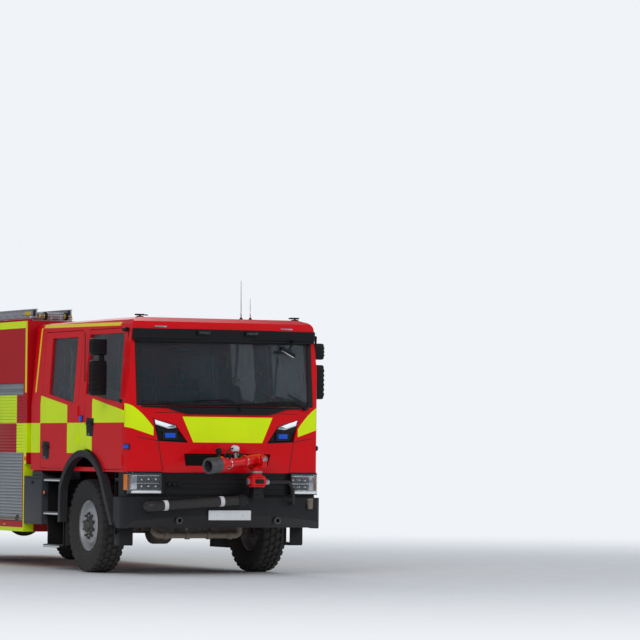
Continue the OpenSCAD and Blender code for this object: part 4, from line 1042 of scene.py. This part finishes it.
def curtain(x, y0, y1, z0, z1):
    """One shutter on a side, with its back at x."""
    def bit(low, high, y_low, y_high, z_low, z_high, material=shutter_alloy, ease=0.004, steps=2):
        return block((x + low, y_low, z_low), (x + high, y_high, z_high), material, ease, steps)

    slat = bit(0.005, 0.024, y0 + 0.024, y1 - 0.024, z0 + 0.052, z0 + 0.089, ease=0.007)
    pick([slat])
    rows = slat.modifiers.new("rows", "ARRAY")
    rows.count = int((z1 - z0 - 0.11) / SLAT_PITCH)
    rows.use_relative_offset, rows.use_constant_offset = False, True
    rows.constant_offset_displace = (0, 0, SLAT_PITCH)
    bpy.ops.object.modifier_apply(modifier="rows")
    parts = [slat,
             bit(0, 0.008, y0 + 0.002, y1 - 0.002, z0 + 0.002, z1 - 0.002, ease=0.0),
             bit(0.002, 0.034, y0 + 0.001, y0 + 0.03, z0 + 0.001, z1 - 0.001),
             bit(0.002, 0.034, y1 - 0.03, y1 - 0.001, z0 + 0.001, z1 - 0.001),
             bit(0.002, 0.036, y0 + 0.001, y1 - 0.001, z1 - 0.06, z1 - 0.001, ease=0.006),
             bit(0.004, 0.031, y0 + 0.028, y1 - 0.028, z0 + 0.003, z0 + 0.052, alloy, 0.008, 3),
             bar((x + 0.038, y0 + 0.06, z0 + 0.03), (x + 0.038, y1 - 0.06, z0 + 0.03), 0.008,
                 brass, 12, 0.001)]
    for y in (y0 + 0.2, y1 - 0.2):
        parts += [bit(0.03, 0.045, y - 0.045, y + 0.045, z0 + 0.012, z0 + 0.048, black,
                      0.006, 3),
                  bit(0.022, 0.032, y - 0.03, y + 0.03, z0 + 0.055, z0 + 0.075, seal,
                      0.003)]
    return parts


LOCKER_TOP, REAR_BAY_Y = 2.2495, 7.154
rear_curtain = [swung(p, math.radians(90), (0, 0, 0))
                for p in curtain(0.0, -0.699, 0.699, 1.1305, 2.4995)]
for p in rear_curtain:
    for vertex in p.data.vertices:
        vertex.co.y += REAR_BAY_Y
piece("shutter_rear", rear_curtain, replaces=["roller_shutters"])
shutters = []
for y0, y1, z0 in ((1.9155, 3.087, 0.5635), (3.178, 4.3495, 0.5635), (4.4405, 5.7595, 1.3005),
                   (5.8505, 7.0895, 0.5635)):
    shutters += curtain(1.204, y0, y1, z0, LOCKER_TOP)
both("shutters_{}", shutters)

# %% [markdown]
# ## Arch lips, steps and side boxes
# The arch is edged by a rolled lip. The steps have light alloy treads whose slots are painted
# shade:
# near-black strips laid on top. The grey box behind the cab has a lid line, a latch and a marker.
# %% Lips, treads and box fronts
ARCH_R, ARCH_Y, ARCH_Z = 0.792, -0.04, 0.64
arch = [(1.262, ARCH_Y + ARCH_R * math.cos(math.radians(a)),
         ARCH_Z + ARCH_R * math.sin(math.radians(a))) for a in range(27, 156, 4)]
steps = [strand(arch, 0.0075, arch_plastic, 0.03, 8)]
for z in (0.34, 0.72, 1.08):
    steps.append(block((1.003, -1.014, z + 0.026), (1.163, -0.856, z + 0.0345), alloy, 0.003))
    # near-black strips on the tread: painted shade standing for its slots
    steps += [block((1.01, -1.008 + i * 0.025, z + 0.033), (1.156, -0.996 + i * 0.025, z + 0.0375),
                    seal, 0.001) for i in range(6)]
steps += [block((0.999, -1.019, 0.352), (1.167, -1.011, 0.585), black, 0.003),
          block((1.16, -1.017, 0.352), (1.168, -0.853, 0.47), black, 0.003)]
for z in (0.27, 0.66, 1.06):
    steps.append(block((0.963, 0.703, z + 0.026), (1.2345, 1.227, z + 0.0345), alloy, 0.003))
    # near-black strips on the tread: painted shade standing for its slots
    steps += [block((0.985 + i * 0.036, 0.72, z + 0.033), (1.0 + i * 0.036, 1.21, z + 0.0375),
                    seal, 0.001) for i in range(7)]
    steps.append(block((1.2335, 0.703, z + 0.004), (1.237, 1.227, z + 0.022), white_band, 0.001))
steps += [block((1.226, 1.16, 0.905), (1.243, 1.222, 0.95), seal, 0.003),
          block((1.238, 1.166, 0.91), (1.249, 1.216, 0.945), lens_amber, 0.004),
          block((1.2485, 1.275, 0.57), (1.2535, 1.825, 1.085), box_paint, 0.004, 3),
          block((1.2525, 1.5, 1.02), (1.2545, 1.6, 1.06), seal, 0.001),
          bar((1.2535, 1.55, 1.04), (1.2545, 1.55, 1.04), 0.011, brass, 14, 0.0),
          block((1.2495, 1.29, 1.088), (1.2525, 1.81, 1.098), black, 0.002),
          block((1.2485, 1.8, 1.305), (1.2545, 1.86, 1.355), lens_amber, 0.004)]
for y in (2.5, 3.76, 6.47):
    steps += [block((1.2495, y - 0.055, 0.503), (1.2525, y + 0.055, 0.537), seal, 0.002),
              block((1.252, y - 0.05, 0.507), (1.2545, y + 0.05, 0.533), lens_amber, 0.001)]
both("steps_and_box_trim_{}", steps)

# %% [markdown]
# ## Bumper fittings
# The bumper is one bowed steel shell. It carries a bare white plate with two bolts, the hose with
# its bands, a grommet round the hole the hose comes out of, rings round the two towing eyes, and a
# weathered pipe end on the left.
# %% Plate, hose bands, rings and pipe end
BUMPER_Y, BUMPER_CORNER_X, BUMPER_CORNER_R = -1.53, 0.925, 0.33


def bumper_y(x):
    """The bumper's front face."""
    over = min(max(abs(x) - BUMPER_CORNER_X, 0.0), BUMPER_CORNER_R - 0.001)
    return BUMPER_Y + max(sag(BOW_R, x), sag(BUMPER_CORNER_R, over))


HOSE_Y = -1.587
fit = [block((-0.29, -1.541, 0.632), (0.273, -1.526, 0.771), black, 0.006, 3),
       block((-0.276, -1.5445, 0.645), (0.259, -1.538, 0.758), plate_white, 0.003)]
fit += [bar((x, -1.5425, 0.7015), (x, -1.5475, 0.7015), 0.006, chrome, 12, 0.001)
        for x in (-0.17, 0.155)]
fit.append(turned([(0.057, -0.012), (0.074, -0.012), (0.079, -0.004), (0.079, 0.012),
                   (0.057, 0.012)], -1.03, bumper_y(-1.03) - 0.004, 0.8, seal, 36,
                  (0.3, 0.95, 0)))
for x in (-0.839, -0.138):
    z = 0.8 + (x + 1.03) * 0.0702
    fit.append(turned([(0.0552, -0.024), (0.0585, -0.024), (0.0595, -0.02), (0.0595, 0.02),
                       (0.0585, 0.024), (0.0552, 0.024)], x, HOSE_Y, z, white_band, 32,
                      (1, 0, 0.07)))
fit.append(turned([(0.0552, -0.05), (0.064, -0.05), (0.068, -0.04), (0.068, 0.03), (0.06, 0.05),
                   (0.0552, 0.05)], 0.12, HOSE_Y, 0.8807, seal, 36, (1, 0, 0.07)))
for x in (-0.62, 0.62):
    fit.append(turned([(0.0225, -0.004), (0.038, -0.004), (0.0425, 0.0), (0.0425, 0.012),
                       (0.0225, 0.012)], x, -1.5, 0.64, steel, 32, (0, 1, 0)))
fit += [strand([(1.048, -1.38, 0.845), (1.048, -1.468, 0.845), (1.048, -1.475, 0.775)], 0.03,
               pipe_paint, 0.05, 20),
        block((0.998, -1.452, 0.79), (1.098, -1.436, 0.9), pipe_paint, 0.012, 3)]
fit += [bar((x, -1.45, z), (x, -1.462, z), 0.008, steel, 6, 0.001)
        for x, z in ((1.01, 0.888), (1.086, 0.802))]
for x in (-0.72, -0.656, -0.6):
    fit.append(turned([(0.001, -0.022), (0.02, -0.022), (0.026, -0.014), (0.026, 0.02),
                       (0.001, 0.02)], x, -1.412, 1.054, black, 20, (0, 1, 0)))
for z in (0.935, 1.005, 1.06, 1.12, 1.165):
    fit.append(band(-0.795, 0.795, z, z + 0.012, -0.008, 0.024, black))
for x in (-1.1, -0.74, -0.38, 0.38, 0.74, 1.1):
    fit.append(bar((x, bumper_y(x) + 0.03, 0.893), (x, bumper_y(x) + 0.03, 0.911), 0.011, steel,
                   6, 0.002))
piece("bumper_fittings", fit)

# %% [markdown]
# ## Monitor
# The water monitor stands on a post on the bumper. A square valve body carries a swivel, and a
# forked waterway with round elbows holds the barrel, which ends in a grey combination nozzle.
# %% Post, valve body and side coupling, on the bumper
MX, MY, MZ = 0.28, -1.65, 1.35
PAN, DIP = math.radians(70), math.radians(6)
aim = Vector((-math.sin(PAN) * math.cos(DIP), -math.cos(PAN) * math.cos(DIP), -math.sin(DIP)))
level = Vector((-math.sin(PAN), -math.cos(PAN), 0))
across = Vector((math.cos(PAN), -math.sin(PAN), 0))


def ring(inner, outer, low, high, material, axis=(0, 0, 1), centre=(MX, MY, 0.0), soft=0.003):
    return turned([(inner, low), (outer - soft, low), (outer, low + soft), (outer, high - soft),
                   (outer - soft, high), (inner, high)], *centre, material, 40, axis)


def bolts(radius, low, high, count=8, size=0.008):
    turns = [math.tau * i / count for i in range(count)]
    return [bar(*[(MX + radius * math.cos(a), MY + radius * math.sin(a), z) for z in (low, high)],
                size, steel, 6, 0.001) for a in turns]


base = [block((0.212, -1.708, 0.9055), (0.348, -1.452, 0.94), bumper_steel, 0.006, 3),
        block((0.222, -1.698, 0.938), (0.338, -1.562, 1.03), bumper_steel, 0.006, 3),
        block((0.187, -1.733, 1.045), (0.373, -1.547, 1.146), red_paint, 0.022, 4),
        ring(0.001, 0.094, 1.03, 1.048, red_paint), ring(0.001, 0.094, 1.142, 1.16,
                                                             red_paint),
        ring(0.033, 0.06, 1.158, 1.19, red_paint), ring(0.001, 0.032, 1.15, 1.2345, alloy),
        ring(0.001, 0.03, 0.0, 0.07, alloy, (1, 0, 0), (0.373, MY + 0.02, 1.087)),
        ring(0.001, 0.038, 0.014, 0.03, chrome, (1, 0, 0), (0.373, MY + 0.02, 1.087)),
        bar((0.186, MY + 0.01, 1.095), (0.165, MY + 0.01, 1.095), 0.036, alloy, 24, 0.006),
        block((0.225, -1.737, 1.07), (0.335, -1.731, 1.122), black, 0.004)]
base += bolts(0.08, 1.155, 1.168) + bolts(0.08, 1.022, 1.034)
piece("monitor_post", base, replaces=["monitor_base"])


# %% Swivel with its forked waterway
def local(side, ahead, up):
    """A place by the fork: across, along the level aim and up from the tilt axis."""
    spot = Vector((MX, MY, MZ)) + across * side + level * ahead
    return (spot.x, spot.y, MZ + up)


def round_tilt(profile, material, steps, side=1):
    """A part turned round the tilt axis."""
    return turned(profile, MX, MY, MZ, material, steps, tuple(across * side))


def round_aim(profile, material, steps=48):
    """A part turned round the barrel's line."""
    return turned(profile, MX, MY, MZ, material, steps, tuple(aim))


swivel = [ring(0.0335, 0.0655, 1.1915, 1.215, alloy),
          ring(0.0335, 0.06, 1.213, 1.259, red_paint),
          ring(0.0335, 0.0655, 1.246, 1.26, red_paint)]
for s in (1, -1):
    swivel += [strand([local(0.0, 0, -0.088), local(s * 0.122, 0, -0.088),
                       local(s * 0.122, 0, -0.02)], 0.031, red_paint, 0.07, 24),
               round_tilt([(0.0235, 0.106), (0.046, 0.106), (0.049, 0.11), (0.049, 0.13),
                           (0.046, 0.134), (0.0235, 0.134)], red_paint, 36, s),
               round_tilt([(0.0235, 0.13), (0.034, 0.13), (0.036, 0.133), (0.034, 0.139),
                           (0.0235, 0.139)], chrome, 32, s)]
piece("monitor_fork", swivel, "monitor_swivel_body", replaces=["monitor_swivel"])
# %% Barrel, clamps, nozzle and its small valve
barrel = [round_tilt([(0.001, -0.098), (0.054, -0.098), (0.06, -0.09), (0.06, 0.09),
                      (0.054, 0.098), (0.001, 0.098)], red_paint, 40),
          round_tilt([(0.001, -0.135), (0.022, -0.135), (0.022, 0.135), (0.001, 0.135)], alloy,
                     28),
          round_aim([(0.001, -0.075), (0.03, -0.072), (0.052, -0.05), (0.0565, -0.02),
                     (0.0565, 0.2), (0.069, 0.203), (0.0695, 0.207), (0.0695, 0.226),
                     (0.069, 0.23), (0.057, 0.233), (0.052, 0.3), (0.052, 0.418),
                     (0.067, 0.421), (0.0675, 0.425), (0.0675, 0.446), (0.067, 0.45),
                     (0.054, 0.453), (0.056, 0.535), (0.001, 0.535)], red_paint),
          round_aim([(0.055, 0.194), (0.0697, 0.194), (0.0705, 0.197), (0.0697, 0.2),
                     (0.055, 0.2)], chrome),
          round_aim([(0.053, 0.452), (0.0672, 0.452), (0.068, 0.456), (0.0672, 0.461),
                     (0.053, 0.461)], chrome),
          round_aim([(0.052, 0.53), (0.07, 0.532), (0.0895, 0.556), (0.0915, 0.565),
                     (0.0915, 0.6), (0.087, 0.604), (0.087, 0.612), (0.06, 0.612),
                     (0.052, 0.6)], red_paint, 56),
          round_aim([(0.08, 0.611), (0.087, 0.612), (0.0915, 0.616), (0.0915, 0.665),
                     (0.084, 0.675), (0.084, 0.7), (0.0915, 0.71), (0.0915, 0.78),
                     (0.0885, 0.789), (0.0715, 0.789), (0.0665, 0.782), (0.0655, 0.632),
                     (0.08, 0.628)], nozzle_grey, 56),
          round_aim([(0.001, 0.63), (0.0655, 0.63), (0.0655, 0.64), (0.03, 0.645),
                     (0.012, 0.665), (0.001, 0.668)], seal, 40)]
over = aim.cross(across).normalized()
over = over if over.z > 0 else -over


def by_barrel(distance, above, side=0.0):
    """A place by the barrel: along it, over it and across it."""
    return tuple(Vector((MX, MY, MZ)) + aim * distance + over * above + across * side)


barrel += [bar(by_barrel(0.34, 0.05), by_barrel(0.34, 0.12), 0.018, alloy, 20),
           bar(by_barrel(0.3, 0.15), by_barrel(0.375, 0.165), 0.038, white_band, 8, 0.008),
           bar(by_barrel(0.34, 0.11), by_barrel(0.34, 0.13), 0.026, steel, 6),
           strand([by_barrel(0.375, 0.165), by_barrel(0.44, 0.16), by_barrel(0.5, 0.11),
                   by_barrel(0.52, 0.06)], 0.009, hose_rubber),
           block(by_barrel(0.47, 0.045, 0.03), by_barrel(0.41, 0.12, -0.03), black,
                 0.008, 3),
           bar(by_barrel(0.6, 0.085), by_barrel(0.6, 0.13), 0.014, steel, 16),
           bar(by_barrel(0.575, 0.155), by_barrel(0.625, 0.155), 0.036, black, 28, 0.01),
           bar(by_barrel(0.3, 0.052, 0.03), by_barrel(0.3, 0.085, 0.03), 0.016, black,
               16, 0.004),
           bar(by_barrel(0.27, 0.085, 0.03), by_barrel(0.33, 0.085, 0.03), 0.024,
               black, 20, 0.005),
           bar(by_barrel(0.331, 0.085, 0.03), by_barrel(0.336, 0.085, 0.03), 0.02, lens_clear,
               20, 0.001)]
for i in range(10):
    a = math.tau * i / 10
    rib_above, rib_side = 0.0885 * math.cos(a), 0.0885 * math.sin(a)
    barrel.append(bar(by_barrel(0.715, rib_above, rib_side), by_barrel(0.775, rib_above, rib_side),
                      0.0045, nozzle_grey, 8, 0.001))
piece("monitor_tube", barrel, "monitor_barrel_body", replaces=["monitor_barrel"])

# %% [markdown]
# ## Ladder, its gantry and the body roof
# The ladder lies on three cross bars. Two rollers at its front end guide it as it is drawn off.
# The stiles are deep alloy sections with rung ends riveted through.
# %% Stile flanges, rung ends and castings
LX, LY, LZ = -0.83, 2.0, 3.0603
rungs = [LY + 0.15 + 0.28 * i for i in range(16) if 0.15 + 0.28 * i <= 4.5]


def stay(x, half, y0, y1, z0, z1, material=rail_alloy, ease=0.003):
    """A block centred on x, read from the ladder's foot."""
    return block((x - half, LY + y0, LZ + z0), (x + half, LY + y1, LZ + z1), material, ease)


def rung(x0, x1, y, z, radius, *form):
    return bar((x0, y, LZ + z), (x1, y, LZ + z), radius, *form)


ladder = []
for s in (-1, 1):
    x = LX + s * 0.227
    ladder += [stay(x, 0.018, 0, 4.6, 0, 0.014), stay(x, 0.018, 0, 4.6, 0.096, 0.11),
               stay(x, 0.004, 0, 4.6, 0.01, 0.1, ease=0.0),
               stay(x, 0.0175, 0.02, 0.09, 0.02, 0.092, steel, 0.006)]
    ladder += [rung(x - 0.017, x + 0.017, y, 0.055, 0.024, rail_alloy, 16, 0.003)
               for y in rungs]
for y in rungs:
    ladder.append(rung(LX - 0.225, LX + 0.225, y, 0.055, 0.0165, rail_alloy, 16, 0.0))
    ladder += [rung(LX - 0.2 + i * 0.05, LX - 0.185 + i * 0.05, y - 0.004, 0.0555, 0.0182,
                    rail_alloy, 12, 0.001) for i in range(8)]
for y in (LY + 0.16, LY + 3.9):
    ladder += [block((LX - 0.2455, y, LZ + 0.03), (LX - 0.229, y + 0.2, LZ + 0.08), yellow_grip,
                     0.008, 3),
               rung(LX - 0.2458, LX - 0.23, y + 0.03, 0.055, 0.02, yellow_grip, 20, 0.003)]
piece("ladder_rails", ladder, replaces=["ladder"])
# %% Rollers, cross bars and roof sheet
ROLLER_Y, ROLLER_Z = 1.94, 3.08
gantry = []
for y in (LY + 0.08, LY + 2.3, LY + 4.4):
    gantry += [block((LX - 0.285, y, 3.0152), (LX + 0.285, y + 0.06, 3.028), alloy, 0.002),
               block((LX - 0.285, y + 0.024, 3.02), (LX + 0.285, y + 0.036, 3.056), alloy, 0.002),
               block((LX - 0.285, y, 3.05), (LX + 0.285, y + 0.06, 3.0597), alloy, 0.002)]
    gantry += [bar((LX + s * 0.262, y + 0.03, 3.02), (LX + s * 0.262, y + 0.03, 3.075), 0.009,
                   chrome, 12, 0.001) for s in (-1, 1)]
gantry.append(bar((LX - 0.205, ROLLER_Y, ROLLER_Z), (LX + 0.205, ROLLER_Y, ROLLER_Z), 0.012,
                  alloy, 16, 0.001))
for s in (-1, 1):
    x = LX + s * 0.137
    gantry += [turned([(0.012, -0.017), (0.03, -0.017), (0.033, -0.014), (0.033, 0.014),
                       (0.03, 0.017), (0.012, 0.017)], x, ROLLER_Y, ROLLER_Z, yellow_grip, 28),
               turned([(0.032, -0.017), (0.046, -0.017), (0.05, -0.012), (0.05, 0.012),
                       (0.046, 0.017), (0.032, 0.017)], x, ROLLER_Y, ROLLER_Z, seal, 32),
               block((LX + s * 0.06 - 0.01, 1.93, 3.0152), (LX + s * 0.06 + 0.01, 1.95, 3.092),
                     alloy, 0.003),
               bar((LX + s * 0.2, ROLLER_Y, ROLLER_Z), (LX + s * 0.214, ROLLER_Y, ROLLER_Z),
                   0.018, yellow_grip, 16, 0.004)]
piece("ladder_carrier", gantry, replaces=["ladder_gantry"])
sheet = [block((-0.5, 1.9, 3.0148), (1.12, 7.12, 3.0178), alloy, 0.001)]
for i in range(7):
    y = 2.2 + i * 0.8
    sheet.append(block((-0.5, y, 3.0175), (1.12, y + 0.03, 3.021), alloy, 0.001))
sheet += [block((1.17, 1.84, 3.0148), (1.2, 7.15, 3.04), body_paint, 0.004),
          block((-1.2, 1.84, 3.0148), (-1.17, 7.15, 3.04), body_paint, 0.004)]
piece("roof_sheet", sheet)

# %% [markdown]
# ## The back
# The photograph doesn't show the back. It is finished by type: lamp clusters, bare plate, grab
# rails, reflectors, high corner lamps and mud flaps.
# %% Lamps, rails and flaps
BACK_Y = 7.2005
back = []
for z, high, lens in ((0.66, 0.78, lens_red), (0.79, 0.87, lens_amber), (0.88, 0.96, lens_clear)):
    back += [block((1.07, BACK_Y, z - 0.006), (1.215, 7.222, high + 0.004), seal, 0.004),
             block((1.078, 7.215, z), (1.207, 7.238, high - 0.002), lens, 0.01, 3)]
back += [block((1.06, BACK_Y, 2.78), (1.2, 7.225, 2.9), seal, 0.008, 3),
         block((1.07, 7.22, 2.79), (1.19, 7.245, 2.89), lens_blue, 0.016, 3),
         block((1.09, BACK_Y, 1.05), (1.19, 7.208, 1.13), lens_red, 0.004),
         strand([(0.79, 7.202, 1.15), (0.79, 7.255, 1.17), (0.79, 7.255, 2.35),
                 (0.79, 7.202, 2.37)], 0.016, yellow_grip, 0.05, 16),
         block((0.74, 5.799, 0.19), (1.225, 5.807, 0.46), seal, 0.003),
         block((0.74, 5.792, 0.41), (1.225, 5.8, 0.445), alloy, 0.002)]
back += [bar((0.79, BACK_Y, z), (0.79, 7.212, z), 0.032, alloy, 24, 0.003) for z in (1.15, 2.37)]
middle = [block((-0.27, BACK_Y, 0.66), (0.27, 7.212, 0.79), black, 0.005, 3),
          block((-0.26, 7.21, 0.67), (0.26, 7.2155, 0.78), plate_white, 0.002),
          block((-0.32, BACK_Y, 0.82), (-0.24, 7.222, 0.86), black, 0.006),
          block((-0.6, BACK_Y, 2.6), (0.6, 7.235, 2.68), alloy, 0.008, 3),
          block((-0.55, 7.23, 2.615), (0.55, 7.24, 2.665), lens_amber, 0.004)]
piece("back_fittings", back + mirrored(back) + middle)


# %% [markdown]
# ## Inside the cab
# Six seats show through the glass. A cushion is a filled cover that crowns in its middle and pulls
# in along its edges, so each is a box drawn towards a round form and put back to its size.
# %% Cushions
def cushion(low, high, puff=0.34, lean=0.0, about=None):
    deselect()
    low, high = at(*low), at(*high)
    bpy.ops.mesh.primitive_cube_add(size=2, location=(0, 0, 0))
    edit()
    bpy.ops.mesh.subdivide(number_cuts=9)
    bpy.ops.object.mode_set(mode="OBJECT")
    part = bpy.context.object
    for vertex in part.data.vertices:
        vertex.co = vertex.co.lerp(vertex.co.normalized() * 1.25, puff)
    edit()
    bpy.ops.mesh.vertices_smooth(factor=0.5, repeat=2)
    bpy.ops.object.mode_set(mode="OBJECT")
    reach = [max(abs(v.co[i]) for v in part.data.vertices) for i in range(3)]
    middle, half = (low + high) / 2, (high - low) / 2
    for vertex in part.data.vertices:
        vertex.co = middle + Vector([vertex.co[i] / reach[i] * half[i] for i in range(3)])
    edit()
    part = leave(seat_cloth)
    return swung(part, lean, about, "X") if lean else part


FLOOR = 1.24
seats = []
for x, y, w in ((-0.64, -0.48, 0.5), (0.64, -0.48, 0.5), (-0.69, 0.9, 0.46), (-0.23, 0.9, 0.44),
                (0.23, 0.9, 0.44), (0.69, 0.9, 0.46)):
    h = w / 2 - 0.012
    seats += [block((x - h + 0.04, y + 0.06, FLOOR), (x + h - 0.04, y + 0.44, FLOOR + 0.27),
                    dash_plastic, 0.02, 3),
              cushion((x - h, y, FLOOR + 0.262), (x + h, y + 0.5, FLOOR + 0.4)),
              cushion((x - h, y + 0.47, FLOOR + 0.37), (x + h, y + 0.585, FLOOR + 1.02), 0.26,
                      math.radians(-9.5), (x, y + 0.53, FLOOR + 0.36)),
              cushion((x - 0.11, y + 0.6, FLOOR + 1.03), (x + 0.11, y + 0.67, FLOOR + 1.2), 0.3,
                      math.radians(-9.5), (x, y + 0.63, FLOOR + 1.03))]
    seats += [bar((x + s * 0.05, y + 0.62, FLOOR + 0.99), (x + s * 0.05, y + 0.645, FLOOR + 1.08),
                  0.007, chrome, 10, 0.0) for s in (-1, 1)]
whole = piece("seat_cushions", seats, replaces=["seats"])
# %% Belts, grab rails and the dash
inside = []
for s in (-1, 1):
    inside += [block((s * 1.085 - 0.012, -0.02, 2.42), (s * 1.085 + 0.012, 0.03, 2.5), seal,
                     0.004),
               bar((s * 1.08, -0.005, 2.46), (s * 0.86, -0.1, 1.72), 0.013, red_webbing, 8, 0.0),
               strand([(s * 1.02, 0.9, 2.02), (s * 1.02, 0.9, 2.62), (s * 1.02, 0.98, 2.66)],
                      0.014, yellow_grip, 0.04, 12),
               strand([(s * 1.02, 0.5, 2.3), (s * 1.02, 0.62, 2.33), (s * 0.96, 0.7, 2.33)], 0.012,
                      yellow_grip, 0.04, 12)]
inside += [block((-0.86, -1.08, 1.885), (-0.34, -0.985, 1.96), dash_plastic, 0.03, 4),
           block((-0.8, -0.99, 1.9), (-0.4, -0.983, 1.945), lens_clear, 0.004),
           block((-0.26, -1.04, 1.6), (0.2, -0.985, 1.86), dash_plastic, 0.02, 3),
           block((-0.2, -0.99, 1.66), (0.14, -0.98, 1.84), seal, 0.008),
           block((0.3, -1.02, 1.88), (0.95, -0.99, 1.92), dash_plastic, 0.012, 3)]
inside += [bar((-0.22 + i * 0.09, -0.99, 1.63), (-0.22 + i * 0.09, -0.975, 1.63), 0.012,
               chrome if i % 2 else lens_amber, 12, 0.002) for i in range(5)]
inside += [bar((x, -1.24, 2.62), (x - 0.22, -1.2, 2.6), 0.02, dash_plastic, 16, 0.006)
           for x in (-0.35, 0.9)]
piece("cab_inside", inside)

# %% [markdown]
# ## Underneath
# Clamps hold the springs to the axles, and two air tanks hang outside the frame on brackets.
# %% Spring clamps, tanks and brackets
CLAMPS_Y = (0.0, 5.1)
under = []
for y in CLAMPS_Y:
    for s in (-1, 1):
        x = s * 0.455
        for dy in (-0.07, 0.07):
            for dx in (-0.052, 0.052):
                under.append(bar((x + dx, y + dy, 0.475), (x + dx, y + dy, 0.74), 0.011, steel, 8,
                                 0.001))
        under.append(block((x - 0.066, y - 0.1, 0.713), (x + 0.066, y + 0.1, 0.733), cast_iron,
                           0.006))
for y in (2.5, 3.1):
    under.append(turned([(0.001, -0.26), (0.06, -0.255), (0.11, -0.225), (0.115, -0.2),
                         (0.115, 0.2), (0.11, 0.225), (0.06, 0.255), (0.001, 0.26)], 0.56, y, 0.66,
                        chassis_steel, 40, (0, 1, 0)))
    under += [block((0.386, y + d - 0.02, 0.74), (0.68, y + d + 0.02, 0.775), chassis_steel, 0.004)
              for d in (-0.15, 0.15)]
piece("under_fittings", under)
